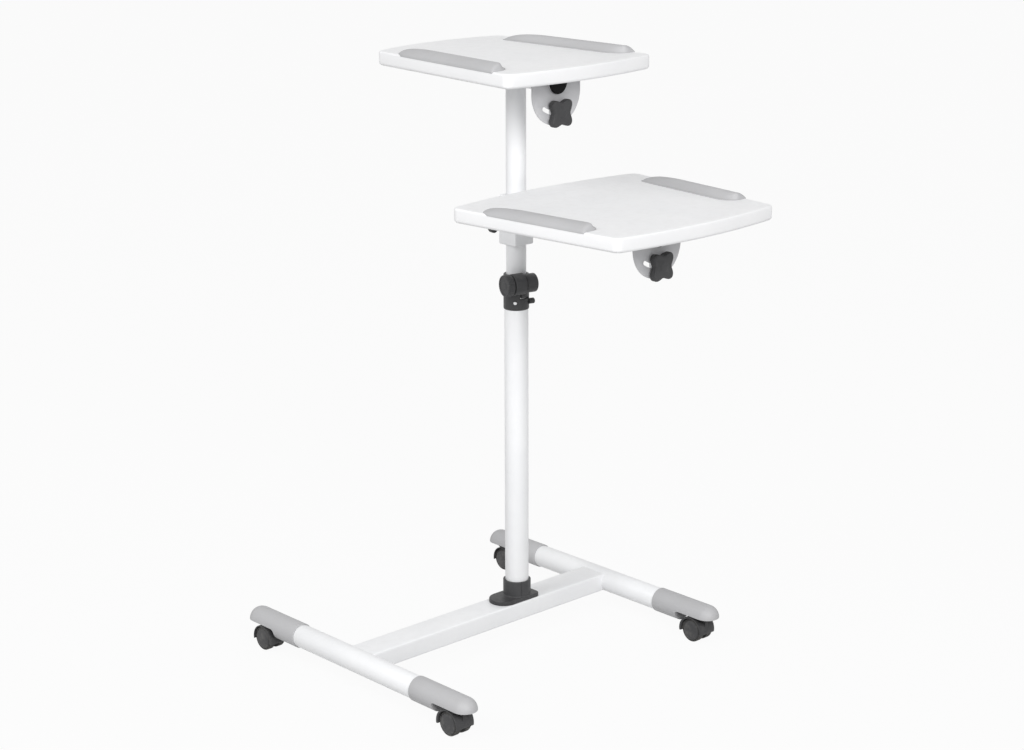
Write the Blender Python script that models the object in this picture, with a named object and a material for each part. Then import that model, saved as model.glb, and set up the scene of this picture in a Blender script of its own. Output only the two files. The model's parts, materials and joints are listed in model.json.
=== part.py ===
"""Mobile audio visual cart: an H base on four twin-wheel casters, a telescopic column with a
pinch clamp, and two moulded trays that tilt on horizontal tubes and lock with lobed knobs.

Metres, +Z up. The user stands at -Y. X = 0 lies midway between the side tubes, Z = 0 is the floor.
Until the last step Y = 0 is the middle of the base; the root empty then moves the middle of the
whole cart's footprint to Y = 0.
"""
import math

import bmesh
import bpy
from mathutils import Matrix, Vector

# Fits
FIT_GAP = 0.0003          # between faces that seat on each other
RUN_GAP = 0.0004          # between a turning piece and what it turns on
CUT_OVERRUN = 0.003       # how far a cutting shape runs past the face that it opens
WELD_SINK = 0.001         # how far a rib or boss reaches into the wall that carries it

# Round pieces: number of facets
TUBE_FACETS = 24
WHEEL_FACETS = 20
CAP_FACETS = 24
EAR_FACETS = 20
SMALL_FACETS = 14
PIN_FACETS = 12
ARC_STEPS = 6

# Casters
WHEEL_RADIUS = 0.025
WHEEL_WIDTH = 0.0185
WHEEL_DOME = 0.0035       # how far the outer face bulges
TREAD_ROUND = 0.0015
AXLE_RADIUS = 0.003
AXLE_REACH = 0.010        # how deep the axle sits in each wheel
CASTER_TRAIL = 0.022      # from the swivel axis to the axle
CASTER_CLEARANCE = 0.0036  # from the top of the hood to the swivel's seat
FORK_WEB = 0.009
FORK_WEB_RADIUS = 0.018
HOOD_GAP = 0.0015
HOOD_WALL = 0.0032
HOOD_LEAN = 0.0018        # how far the hood's outer curve is moved away from the stem
HOOD_HALF_WIDTH = 0.0232
HOOD_DROP = math.radians(12)
CASTER_BOSS_RADIUS = 0.009
STEM_RADIUS = 0.005
STEM_LENGTH = 0.017

# Base frame
TRACK_HALF = 0.344        # from the middle to each side tube's axis
SIDE_TUBE_RADIUS = 0.024
SIDE_TUBE_WALL = 0.002
CAP_START = 0.1835        # from the base's middle to the cap's ring edge
CAP_SKIN = 0.002          # how far the cap stands out past the tube
CAP_EDGE_ROUND = 0.001
CAP_LENGTH = 0.163
CAP_WINDOW = 0.096        # length that is open below for the caster
CAP_SOCKET_END = 0.007    # what is left of the full round part past the tube's socket
CAP_WALL = 0.0035
CAP_CORNER_ROUND = 0.008
CAP_BOSS_RADIUS = 0.0095
BEAM_WIDTH = 0.067
BEAM_HEIGHT = 0.0385
BEAM_ROUND = 0.004
BEAM_WALL = 0.0025

# Column
COLUMN_X = 0.0986
COLUMN_Y = 0.005
OUTER_RADIUS = 0.025
OUTER_WALL = 0.002
INNER_WALL = 0.0025
INNER_OVERLAP = 0.3695    # how far the inner tube reaches down into the outer one
BUSH_WALL = 0.0016
BUSH_LENGTH = 0.110
BUSH_FLANGE = 0.002

# Column foot
FOOT_THICKNESS = 0.008
FOOT_REACH_LEFT = 0.0695
FOOT_REACH_RIGHT = 0.0405
FOOT_INSET = 0.0025       # from the beam's edge to the foot's
FOOT_CORNER_ROUND = 0.012
FOOT_EDGE_ROUND = 0.0015
FOOT_COLLAR_WALL = 0.0045
FOOT_COLLAR_HEIGHT = 0.0336
FOOT_COLLAR_ROUND = 0.001
FOOT_GROOVE_WIDTH = 0.003
FOOT_GROOVE_DEPTH = 0.0016
FOOT_GROOVE_TURN = math.radians(-25)

# Mast clamp: its ears and bolt lie along the clamp's own X axis, in front of the column
CLAMP_TURN = math.radians(-14)
CLAMP_LENGTH = 0.074
CLAMP_HOLD = 0.0045       # how far the clamp reaches down over the outer tube
CLAMP_SKIN = 0.0016
CLAMP_EDGE_ROUND = 0.0015
CLAMP_EAR_FORWARD = 0.036
CLAMP_EAR_DROP = 0.014    # from the clamp's top to its bolt
CLAMP_LEFT_EAR_RADIUS = 0.0225
CLAMP_RIGHT_EAR_RADIUS = 0.0195
CLAMP_LEFT_EAR_START = -0.031
CLAMP_SLIT_START = -0.0055
CLAMP_SLIT = 0.003
CLAMP_RIGHT_EAR_END = 0.0225
CLAMP_EAR_ROUND = 0.0015
CLAMP_SLOT_RISE = 0.0252  # from the clamp's bottom
CLAMP_SLOT_HEIGHT = 0.003
CLAMP_BOLT_RADIUS = 0.004
CLAMP_KNOB_WIDTH = 0.0162
CLAMP_KNOB_GAP = 0.002
CLAMP_KNOB_RECESS = 0.0015
CLAMP_NUT_RADIUS = 0.008
CLAMP_NUT_DEPTH = 0.006
STOP_PIN_RADIUS = 0.006
STOP_PIN_FORWARD = 0.018
STOP_PIN_RISE = 0.0166
STOP_PIN_START = 0.0185
STOP_PIN_END = 0.0315
SCREW_TURN = math.radians(236)
SCREW_RISE = 0.0166
SCREW_HEAD_RADIUS = 0.0036
SCREW_HEAD = 0.0014
SCREW_RADIUS = 0.0015
SCREW_LENGTH = 0.003

# Sleeve block that carries the lower arm
SLEEVE_LENGTH = 0.107
SLEEVE_HEAD = 0.025       # from the arm's axis to the sleeve's top
SLEEVE_CLEARANCE = 0.0625  # free way down to the clamp
SLEEVE_WALL_X = 0.0052
SLEEVE_WALL_Y = 0.0042
SLEEVE_ROUND = 0.003
SLEEVE_KNOB_RISE = 0.0365  # from the sleeve's bottom
SLEEVE_KNOB_TIP = 0.020
SLEEVE_KNOB_WAIST = 0.015
SLEEVE_KNOB_WIDTH = 0.014
SLEEVE_KNOB_NECK = 0.036
SLEEVE_KNOB_NECK_RADIUS = 0.0075

# Horizontal tubes on which the trays tilt
PIVOT_TUBE_RADIUS = 0.021
PIVOT_TUBE_WALL = 0.0025
PIVOT_CAP_SKIN = 0.0017
PIVOT_CAP_WIDTH = 0.0045
PIVOT_CAP_PLUG = 0.012
PIVOT_TUBE_PROUD = 0.003  # how far the tube stands out past the plate
LOWER_FRONT_PLATE_INSET = 0.107  # from the tray's front corners
LOWER_REAR_PLATE_INSET = 0.122
UPPER_PLATE_REACH = 0.116

# Tilt plates
PLATE_HALF_WIDTH = 0.066
PLATE_THICKNESS = 0.003
PLATE_ARC_DROP = 0.0195   # from the tilt axis down to the centre of the plate's round edge
PLATE_FOOT_HALF = 0.055
PLATE_FOOT_DEPTH = 0.026
EAR_WALL = 0.0042         # hinge plate's steel round its eye
EAR_FOOT_HALF = 0.040
SLOT_RADIUS = 0.060       # from the tilt axis to the slot's middle line
SLOT_HALF_ANGLE = math.radians(34)
LUG_HALF_WIDTH = 0.012
LUG_THICKNESS = 0.006
TILT_BOLT_RADIUS = 0.004
TILT_BOLT_HEAD_RADIUS = 0.0075
TILT_BOLT_HEAD = 0.005
KNOB_TIP = 0.0345
KNOB_WAIST = 0.0205
KNOB_WIDTH = 0.014
KNOB_HUB_RADIUS = 0.010
KNOB_HUB = 0.005
KNOB_BORE = 0.012
KNOB_EDGE_ROUND = 0.0015

# Trays
TRAY_THICKNESS = 0.0295
TRAY_TOP_ROUND = 0.004
TRAY_BOTTOM_ROUND = 0.0055
TRAY_SKIRT = 0.008
TRAY_PANEL = 0.008
TRAY_FRONT_CORNER = 0.018
TRAY_BACK_CORNER = 0.018
TRAY_FRONT_BOW = 0.019
TRAY_BACK_BOW = 0.025
TRAY_PIVOT_DROP = 0.0435  # from the tray's top to its tilt axis
LOWER_HALF_FRONT = 0.2176
LOWER_HALF_BACK = 0.2555
LOWER_FRONT_Y = -0.498
LOWER_BACK_Y = -0.083
UPPER_TOP = 1.240
TRAY_SPACING = 0.263      # from the lower tray's top to the upper one's
UPPER_HALF_FRONT = 0.1985
UPPER_HALF_BACK = 0.1685
UPPER_FRONT_Y = -0.183
UPPER_BACK_Y = 0.237

# Side lips
LIP_HEIGHT = 0.016        # above the tray's top
LIP_WIDTH = 0.050
LIP_CREST = 0.009         # from the outer face to the crest
LIP_FOOT = 0.0015         # thickness left at the inner edge
LIP_SEAT = 0.0015         # depth of the step in the tray that a lip stands in
LIP_STATIONS = 16
LIP_FRONT_MARGIN = 0.076
LIP_BACK_MARGIN = 0.046
LIP_UPPER_FRONT_MARGIN = 0.048
LIP_UPPER_BACK_MARGIN = 0.029

# Lip outline: share of the length that rounds off at the front, and how far each side comes in there,
# then where the outer side starts to sweep inward, how far it comes by the back end and its power
LIP_NOSE_SHARE = 0.045
LIP_NOSE_OUTER = 0.014
LIP_NOSE_INNER = 0.012
LIP_SWEEP_START = 0.5
LIP_SWEEP = 0.035
LIP_SWEEP_POWER = 1.7

# Lip section: height left at the ends, the powers of its profile towards the front and the back, then
# points as (how far along the outer or inner slope, how far up from the foot to the crest)
LIP_END_SHARE = 0.2
LIP_BLUNT_POWERS = (16, 8)
LIP_OUTER_SHARES = ((0.6, 0.88),)
LIP_INNER_SHARES = ((0.35, 0.62), (0.75, 0.14))

# Places that follow from the sizes above
WHEEL_FLAT_SHARE = math.cos(math.pi / WHEEL_FACETS)
AXLE_Z = WHEEL_RADIUS * WHEEL_FLAT_SHARE
CASTER_HEIGHT = AXLE_Z + WHEEL_RADIUS + HOOD_GAP + HOOD_WALL + CASTER_CLEARANCE
BASE_Z = CASTER_HEIGHT + FIT_GAP
CAP_RADIUS = SIDE_TUBE_RADIUS + CAP_SKIN
CAP_SLEEVE = CAP_LENGTH - CAP_WINDOW
CAP_SOCKET = CAP_SLEEVE - CAP_SOCKET_END
CAP_NOSE_Y = CAP_START + CAP_LENGTH
STEM_Y = CAP_NOSE_Y - CAP_RADIUS - CAP_EDGE_ROUND - CAP_WALL
BEAM_TOP = BASE_Z + BEAM_HEIGHT / 2
FOOT_BOTTOM = BEAM_TOP + FIT_GAP
FOOT_PLATE_TOP = FOOT_BOTTOM + FOOT_THICKNESS
FOOT_COLLAR_TOP = FOOT_PLATE_TOP + FOOT_COLLAR_HEIGHT
FOOT_HALF_WIDTH = BEAM_WIDTH / 2 - FOOT_INSET
FOOT_COLLAR_RADIUS = OUTER_RADIUS + FOOT_COLLAR_WALL
INNER_RADIUS = OUTER_RADIUS - OUTER_WALL - BUSH_WALL - 2 * FIT_GAP
PIVOT_CAP_RADIUS = PIVOT_TUBE_RADIUS + PIVOT_CAP_SKIN
SLEEVE_HALF_X = INNER_RADIUS + SLEEVE_WALL_X
SLEEVE_HALF_Y = INNER_RADIUS + SLEEVE_WALL_Y
LOWER_TOP = UPPER_TOP - TRAY_SPACING
LOWER_PIVOT_Z = LOWER_TOP - TRAY_PIVOT_DROP
UPPER_PIVOT_Z = UPPER_TOP - TRAY_PIVOT_DROP
LOWER_FRONT_PLATE_Y = LOWER_FRONT_Y + LOWER_FRONT_PLATE_INSET
LOWER_REAR_PLATE_Y = LOWER_BACK_Y - LOWER_REAR_PLATE_INSET
UPPER_FRONT_PLATE_Y = COLUMN_Y - UPPER_PLATE_REACH
UPPER_REAR_PLATE_Y = COLUMN_Y + UPPER_PLATE_REACH
SLEEVE_FRONT_Y = COLUMN_Y - SLEEVE_HALF_Y
SLEEVE_BACK_Y = COLUMN_Y + SLEEVE_HALF_Y
SLEEVE_TOP = LOWER_PIVOT_Z + SLEEVE_HEAD
SLEEVE_BOTTOM = SLEEVE_TOP - SLEEVE_LENGTH
SLEEVE_KNOB_Z = SLEEVE_BOTTOM + SLEEVE_KNOB_RISE
CLAMP_RADIUS = OUTER_RADIUS + CLAMP_SKIN
CLAMP_TOP = SLEEVE_BOTTOM - SLEEVE_CLEARANCE
CLAMP_BOTTOM = CLAMP_TOP - CLAMP_LENGTH
CLAMP_EAR_Z = CLAMP_TOP - CLAMP_EAR_DROP
CLAMP_SLOT_Z = CLAMP_BOTTOM + CLAMP_SLOT_RISE
STOP_PIN_Z = CLAMP_BOTTOM + STOP_PIN_RISE
SCREW_Z = CLAMP_BOTTOM + SCREW_RISE
OUTER_BOTTOM = BEAM_TOP + FIT_GAP
OUTER_TOP = CLAMP_BOTTOM + CLAMP_HOLD
INNER_BOTTOM = OUTER_TOP - INNER_OVERLAP
CART_FRONT_Y = LOWER_FRONT_Y - TRAY_FRONT_BOW
CART_MIDDLE_Y = (CART_FRONT_Y + CAP_NOSE_Y) / 2

ALONG_X = Matrix.Rotation(math.radians(90), 4, "Y")
ALONG_Y = Matrix.Rotation(math.radians(-90), 4, "X")


# Scene, materials and placing

def clear_scene():
    for old in list(bpy.data.objects):
        bpy.data.objects.remove(old, do_unlink=True)


def paint(name, colour, roughness, metallic):
    material = bpy.data.materials.new(name)
    material.use_nodes = True
    shader = material.node_tree.nodes["Principled BSDF"]
    shader.inputs["Base Color"].default_value = (*colour, 1)
    shader.inputs["Roughness"].default_value = roughness
    shader.inputs["Metallic"].default_value = metallic
    return material


def make_materials():
    return {
        "white_metal": paint("white_metal", (0.86, 0.87, 0.88), 0.35, 0),
        "white_board": paint("white_board", (0.82, 0.82, 0.83), 0.45, 0),
        "grey_plastic": paint("grey_plastic", (0.53, 0.53, 0.56), 0.5, 0),
        "grey_metal": paint("grey_metal", (0.36, 0.36, 0.38), 0.45, 0),
        "black_plastic": paint("black_plastic", (0.05, 0.05, 0.055), 0.45, 0),
        "steel": paint("steel", (0.6, 0.6, 0.6), 0.3, 1),
    }


def new_object(name, mesh):
    piece = bpy.data.objects.new(name, mesh)
    bpy.context.scene.collection.objects.link(piece)
    return piece


def from_bmesh(name, shape):
    bmesh.ops.recalc_face_normals(shape, faces=shape.faces[:])
    mesh = bpy.data.meshes.new(name)
    shape.to_mesh(mesh)
    shape.free()
    return new_object(name, mesh)


def moved(piece, matrix):
    piece.data.transform(matrix)
    return piece


def shifted(piece, x=0, y=0, z=0):
    return moved(piece, Matrix.Translation((x, y, z)))


def combine(target, tool, operation):
    """Apply one exact boolean and drop the tool."""
    step = target.modifiers.new(operation.lower(), "BOOLEAN")
    step.operation = operation
    step.solver = "EXACT"
    step.object = tool
    bpy.context.view_layer.update()
    result = target.evaluated_get(bpy.context.evaluated_depsgraph_get())
    mesh = bpy.data.meshes.new_from_object(result)
    target.modifiers.clear()
    target.data = mesh
    bpy.data.objects.remove(tool, do_unlink=True)
    return target


def cut(target, *tools):
    for tool in tools:
        combine(target, tool, "DIFFERENCE")
    return target


def fuse(target, *tools):
    for tool in tools:
        combine(target, tool, "UNION")
    return target


def finish(piece, material, parent, pivot=(0, 0, 0)):
    """Shade, colour and parent a piece, with its origin moved to its pivot."""
    piece.data.transform(Matrix.Translation(-Vector(pivot)))
    piece.location = Vector(pivot) - parent["reach"]
    piece.parent = parent["empty"]
    piece.data.materials.clear()
    piece.data.materials.append(material)
    piece.data.shade_smooth()
    piece.data.set_sharp_from_angle(angle=math.radians(32))
    return piece


def carrier(name, place, parent=None):
    """An empty on a joint's axis; 'reach' is its place in the cart's own frame."""
    empty = bpy.data.objects.new(name, None)
    bpy.context.scene.collection.objects.link(empty)
    reach = Vector(place)
    if parent is None:
        empty.location = reach - Vector((0, CART_MIDDLE_Y, 0))
    else:
        empty.location = reach - parent["reach"]
        empty.parent = parent["empty"]
    return {"empty": empty, "reach": reach}


# Basic shapes

def ring(shape, centre_z, radius, facets, turn=0.5):
    step = 2 * math.pi / facets
    angles = [(i + turn) * step for i in range(facets)]
    return [shape.verts.new((radius * math.cos(a), radius * math.sin(a), centre_z)) for a in angles]


def bridge(shape, one, two):
    count = len(one)
    for i in range(count):
        j = (i + 1) % count
        shape.faces.new((one[i], one[j], two[j], two[i]))


def lathe(name, profile, facets=TUBE_FACETS, closed=False):
    """Turn (radius, z) points about Z. A zero radius is a pole; closed joins last to first."""
    shape = bmesh.new()
    rows = []
    for radius, z in profile:
        if radius == 0:
            rows.append([shape.verts.new((0, 0, z))])
        else:
            rows.append(ring(shape, z, radius, facets))
    pairs = list(zip(rows, rows[1:]))
    if closed:
        pairs.append((rows[-1], rows[0]))
    for one, two in pairs:
        if len(one) == 1 and len(two) == 1:
            continue
        if len(one) == 1 or len(two) == 1:
            pole = one[0] if len(one) == 1 else two[0]
            rim = two if len(one) == 1 else one
            for i in range(facets):
                shape.faces.new((rim[i], rim[(i + 1) % facets], pole))
        else:
            bridge(shape, one, two)
    if not closed:
        for row in (rows[0], rows[-1]):
            if len(row) > 1:
                shape.faces.new(row)
    return from_bmesh(name, shape)


def rod(name, radius, low, high, facets=PIN_FACETS):
    return lathe(name, [(radius, low), (radius, high)], facets)


def pipe(name, radius, wall, low, high, facets=TUBE_FACETS):
    inner = radius - wall
    return lathe(name, [(radius, low), (radius, high), (inner, high), (inner, low)], facets, closed=True)


def prism(name, outline, low, high):
    """Extrude an (x, y) outline from z = low to z = high."""
    shape = bmesh.new()
    bottom = [shape.verts.new((x, y, low)) for x, y in outline]
    top = [shape.verts.new((x, y, high)) for x, y in outline]
    bridge(shape, bottom, top)
    shape.faces.new(bottom)
    shape.faces.new(top)
    return from_bmesh(name, shape)


def box(name, low, high):
    (x0, y0, z0), (x1, y1, z1) = low, high
    return prism(name, [(x0, y0), (x1, y0), (x1, y1), (x0, y1)], z0, z1)


def arc(centre, radius, start, end, steps=ARC_STEPS):
    return [
        (
            centre[0] + radius * math.cos(start + (end - start) * i / steps),
            centre[1] + radius * math.sin(start + (end - start) * i / steps),
        )
        for i in range(steps + 1)
    ]


def rounded(points, radii, steps=ARC_STEPS):
    """Replace each corner of a closed outline by an arc of its radius; zero leaves it sharp."""
    outline = []
    count = len(points)
    for i, radius in enumerate(radii):
        here = Vector(points[i])
        if radius == 0:
            outline.append(tuple(here))
            continue
        back = (Vector(points[i - 1]) - here).normalized()
        ahead = (Vector(points[(i + 1) % count]) - here).normalized()
        half = back.angle(ahead) / 2
        inward = (back + ahead).normalized()
        centre = here + inward * radius / math.sin(half)
        start = here + back * radius / math.tan(half) - centre
        end = here + ahead * radius / math.tan(half) - centre
        sweep = start.angle_signed(end)
        for k in range(steps + 1):
            spoke = start.copy()
            spoke.rotate(Matrix.Rotation(-sweep * k / steps, 2))
            outline.append(tuple(centre + spoke))
    return outline


def round_edge_profile(radius, low, high, edge, steps=2):
    """Outer (radius, z) points of a turned piece whose rims are rounded by 'edge'."""
    lower = [(radius - edge + x, low + edge + z) for x, z in arc((0, 0), edge, -math.pi / 2, 0, steps)]
    upper = [(radius - edge + x, high - edge + z) for x, z in arc((0, 0), edge, 0, math.pi / 2, steps)]
    return lower + upper


def lobed_outline(tip, waist, points=28):
    middle = (tip + waist) / 2
    swing = (tip - waist) / 2
    outline = []
    for i in range(points):
        angle = 2 * math.pi * i / points
        radius = middle - swing * math.cos(4 * angle)
        outline.append((radius * math.cos(angle), radius * math.sin(angle)))
    return outline


def lobed_knob(name, tip, waist, width, edge):
    """A four-lobed grip along Z from 0 to width, with softened rims."""
    shape = bmesh.new()
    rows = []
    for z, inset in ((0, edge), (edge, 0), (width - edge, 0), (width, edge)):
        outline = lobed_outline(tip - inset, waist - inset)
        rows.append([shape.verts.new((x, y, z)) for x, y in outline])
    for one, two in zip(rows, rows[1:]):
        bridge(shape, one, two)
    shape.faces.new(rows[0])
    shape.faces.new(rows[-1])
    return from_bmesh(name, shape)


# Casters

def wheel_mesh():
    """Axis along Z, inner face at 0, domed outer face at WHEEL_WIDTH, blind bore for the axle."""
    rim = WHEEL_WIDTH - WHEEL_DOME
    bore = AXLE_RADIUS + RUN_GAP
    face = WHEEL_RADIUS - 2 * TREAD_ROUND
    profile = [
        (0, AXLE_REACH + RUN_GAP),
        (bore, AXLE_REACH + RUN_GAP),
        (bore, 0),
        (WHEEL_RADIUS, 0),
        (WHEEL_RADIUS, rim - TREAD_ROUND),
        (WHEEL_RADIUS - TREAD_ROUND, rim),
    ]
    dome_steps = 2
    for i in range(1, dome_steps):
        angle = math.pi / 2 * i / dome_steps
        profile.append((face * math.cos(angle), rim + WHEEL_DOME * math.sin(angle)))
    profile.append((0, WHEEL_WIDTH))
    return lathe("wheel", profile, WHEEL_FACETS)


def fork_mesh():
    """Swivel axis on Z at the origin's height, axle at y = CASTER_TRAIL, floor at z = 0."""
    hood_inner = WHEEL_RADIUS + HOOD_GAP
    hood_outer = hood_inner + HOOD_WALL
    middle = (0, 0)
    hood = arc((HOOD_LEAN, 0), hood_outer, -HOOD_DROP, math.pi + HOOD_DROP, 9)
    hood += arc(middle, hood_inner, math.pi + HOOD_DROP, -HOOD_DROP, 9)
    hood = prism("hood", hood, -HOOD_HALF_WIDTH, HOOD_HALF_WIDTH)
    web = arc(middle, hood_inner + WELD_SINK, 0, math.pi, 6)
    web += arc(middle, FORK_WEB_RADIUS, math.pi, 2 * math.pi, 6)
    web = prism("web", web, -FORK_WEB / 2, FORK_WEB / 2)
    fork = fuse(hood, web)
    upright = Matrix.Rotation(math.radians(90), 4, "Z") @ Matrix.Rotation(math.radians(90), 4, "X")
    moved(fork, Matrix.Translation((0, CASTER_TRAIL, AXLE_Z)) @ upright)
    neck_low = (-FORK_WEB / 2, -CASTER_BOSS_RADIUS / 2, AXLE_Z)
    neck_high = (FORK_WEB / 2, CASTER_TRAIL, CASTER_HEIGHT - CASTER_BOSS_RADIUS)
    neck = box("neck", neck_low, neck_high)
    boss = rod("boss", CASTER_BOSS_RADIUS, AXLE_Z + CASTER_TRAIL, CASTER_HEIGHT)
    stem = rod("stem", STEM_RADIUS, CASTER_HEIGHT - WELD_SINK, CASTER_HEIGHT + STEM_LENGTH)
    fuse(fork, neck, boss, stem)
    eye = moved(rod("eye", AXLE_RADIUS + FIT_GAP, -FORK_WEB, FORK_WEB), ALONG_X)
    return cut(fork, shifted(eye, y=CASTER_TRAIL, z=AXLE_Z))


def copy_of(source, name):
    return new_object(name, source.data.copy())


def build_casters(materials, base):
    fork_source = fork_mesh()
    wheel_source = wheel_mesh()
    reach = FORK_WEB / 2 + AXLE_REACH
    for side, x in (("left", -TRACK_HALF), ("right", TRACK_HALF)):
        for end, sign in (("front", -1), ("rear", 1)):
            label = f"{end}_{side}"
            stem_place = (x, sign * STEM_Y, BASE_Z)
            axle_place = (x, sign * (STEM_Y - CASTER_TRAIL), AXLE_Z)
            swivel = carrier(f"swivel_{label}", stem_place, base)
            fork = copy_of(fork_source, f"caster_fork_{label}")
            if sign > 0:
                moved(fork, Matrix.Rotation(math.pi, 4, "Z"))
            shifted(fork, x=x, y=sign * STEM_Y)
            finish(fork, materials["black_plastic"], swivel, stem_place)
            axle = moved(rod(f"caster_axle_{label}", AXLE_RADIUS, -reach, reach), ALONG_X)
            moved(axle, Matrix.Translation(axle_place))
            finish(axle, materials["steel"], swivel, axle_place)
            for hand, out in (("outer", math.copysign(1, x)), ("inner", -math.copysign(1, x))):
                wheel = copy_of(wheel_source, f"caster_wheel_{label}_{hand}")
                moved(wheel, ALONG_X if out > 0 else Matrix.Rotation(math.pi, 4, "Z") @ ALONG_X)
                moved(wheel, Matrix.Translation((out * (FORK_WEB / 2 + RUN_GAP), 0, 0)))
                moved(wheel, Matrix.Translation(axle_place))
                finish(wheel, materials["black_plastic"], swivel, axle_place)
    for source in (fork_source, wheel_source):
        bpy.data.objects.remove(source, do_unlink=True)


# Base frame

def end_cap_mesh():
    """Along +Y from the ring edge at y = 0; the tube's axis is the Y axis."""
    centre = CAP_LENGTH - CAP_RADIUS
    socket = SIDE_TUBE_RADIUS + FIT_GAP
    profile = [(0, CAP_SOCKET), (socket, CAP_SOCKET), (socket, 0), (CAP_RADIUS - CAP_EDGE_ROUND, 0)]
    profile.append((CAP_RADIUS, CAP_EDGE_ROUND))
    profile += [(r, centre + z) for r, z in arc((0, 0), CAP_RADIUS, 0, math.pi / 2, 4)[:-1]]
    profile.append((0, CAP_LENGTH))
    cap = moved(lathe("cap", profile, CAP_FACETS), ALONG_Y)
    far = CAP_LENGTH + CUT_OVERRUN
    low = -CAP_RADIUS - CUT_OVERRUN
    side = [(CAP_SLEEVE, low), (far, low), (far, 0), (CAP_SLEEVE, 0)]
    side = rounded(side, (0, 0, 0, CAP_CORNER_ROUND), 3)
    window = prism("window", side, low, -low)
    moved(window, Matrix.Rotation(math.radians(90), 4, "Z") @ Matrix.Rotation(math.radians(90), 4, "X"))
    cut(cap, window)
    core = CAP_RADIUS - CAP_WALL
    start = CAP_SLEEVE + CAP_CORNER_ROUND
    hollow_profile = [(core, start)]
    hollow_profile += [(r, centre + z) for r, z in arc((0, 0), core, 0, math.pi / 2, 3)[:-1]]
    hollow_profile.append((0, centre + core))
    hollow = moved(lathe("hollow", hollow_profile, PIN_FACETS), ALONG_Y)
    boss_y = STEM_Y - CAP_START
    boss = rod("boss", CAP_BOSS_RADIUS, -CAP_RADIUS - CUT_OVERRUN, CAP_RADIUS + CUT_OVERRUN)
    cut(hollow, shifted(boss, y=boss_y))
    cut(cap, hollow)
    stem_hole = rod("stem_hole", STEM_RADIUS + FIT_GAP, -CUT_OVERRUN, STEM_LENGTH, PIN_FACETS)
    return cut(cap, shifted(stem_hole, y=boss_y))


def build_base(materials, base):
    for side, x in (("left", -TRACK_HALF), ("right", TRACK_HALF)):
        half = CAP_START + CAP_SOCKET - FIT_GAP
        tube = moved(pipe(f"side_tube_{side}", SIDE_TUBE_RADIUS, SIDE_TUBE_WALL, -half, half), ALONG_Y)
        finish(shifted(tube, x=x, z=BASE_Z), materials["white_metal"], base)
    cap_source = end_cap_mesh()
    for side, x in (("left", -TRACK_HALF), ("right", TRACK_HALF)):
        for end, sign in (("front", -1), ("rear", 1)):
            cap = copy_of(cap_source, f"end_cap_{end}_{side}")
            if sign < 0:
                moved(cap, Matrix.Rotation(math.pi, 4, "Z"))
            shifted(cap, x=x, y=sign * CAP_START, z=BASE_Z)
            finish(cap, materials["grey_plastic"], base)
    bpy.data.objects.remove(cap_source, do_unlink=True)
    finish(beam_mesh(), materials["white_metal"], base)


def beam_mesh():
    """Rectangular tube along X, its ends coped to the side tubes."""
    def section(half_y, half_z, edge):
        corners = [(-half_y, -half_z), (half_y, -half_z), (half_y, half_z), (-half_y, half_z)]
        return rounded(corners, (edge,) * 4, 3)
    outer = section(BEAM_WIDTH / 2, BEAM_HEIGHT / 2, BEAM_ROUND)
    inner = section(BEAM_WIDTH / 2 - BEAM_WALL, BEAM_HEIGHT / 2 - BEAM_WALL, BEAM_ROUND - BEAM_WALL)
    shape = bmesh.new()
    rows = []
    for outline, x in ((outer, -TRACK_HALF), (outer, TRACK_HALF), (inner, TRACK_HALF), (inner, -TRACK_HALF)):
        rows.append([shape.verts.new((x, y, z)) for y, z in outline])
    for one, two in zip(rows, rows[1:] + rows[:1]):
        bridge(shape, one, two)
    beam = from_bmesh("cross_beam", shape)
    reach = BEAM_WIDTH
    for x in (-TRACK_HALF, TRACK_HALF):
        cope = moved(rod("cope", SIDE_TUBE_RADIUS + FIT_GAP, -reach, reach, TUBE_FACETS), ALONG_Y)
        cut(beam, shifted(cope, x=x))
    return shifted(beam, y=COLUMN_Y, z=BASE_Z)


# Column

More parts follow.
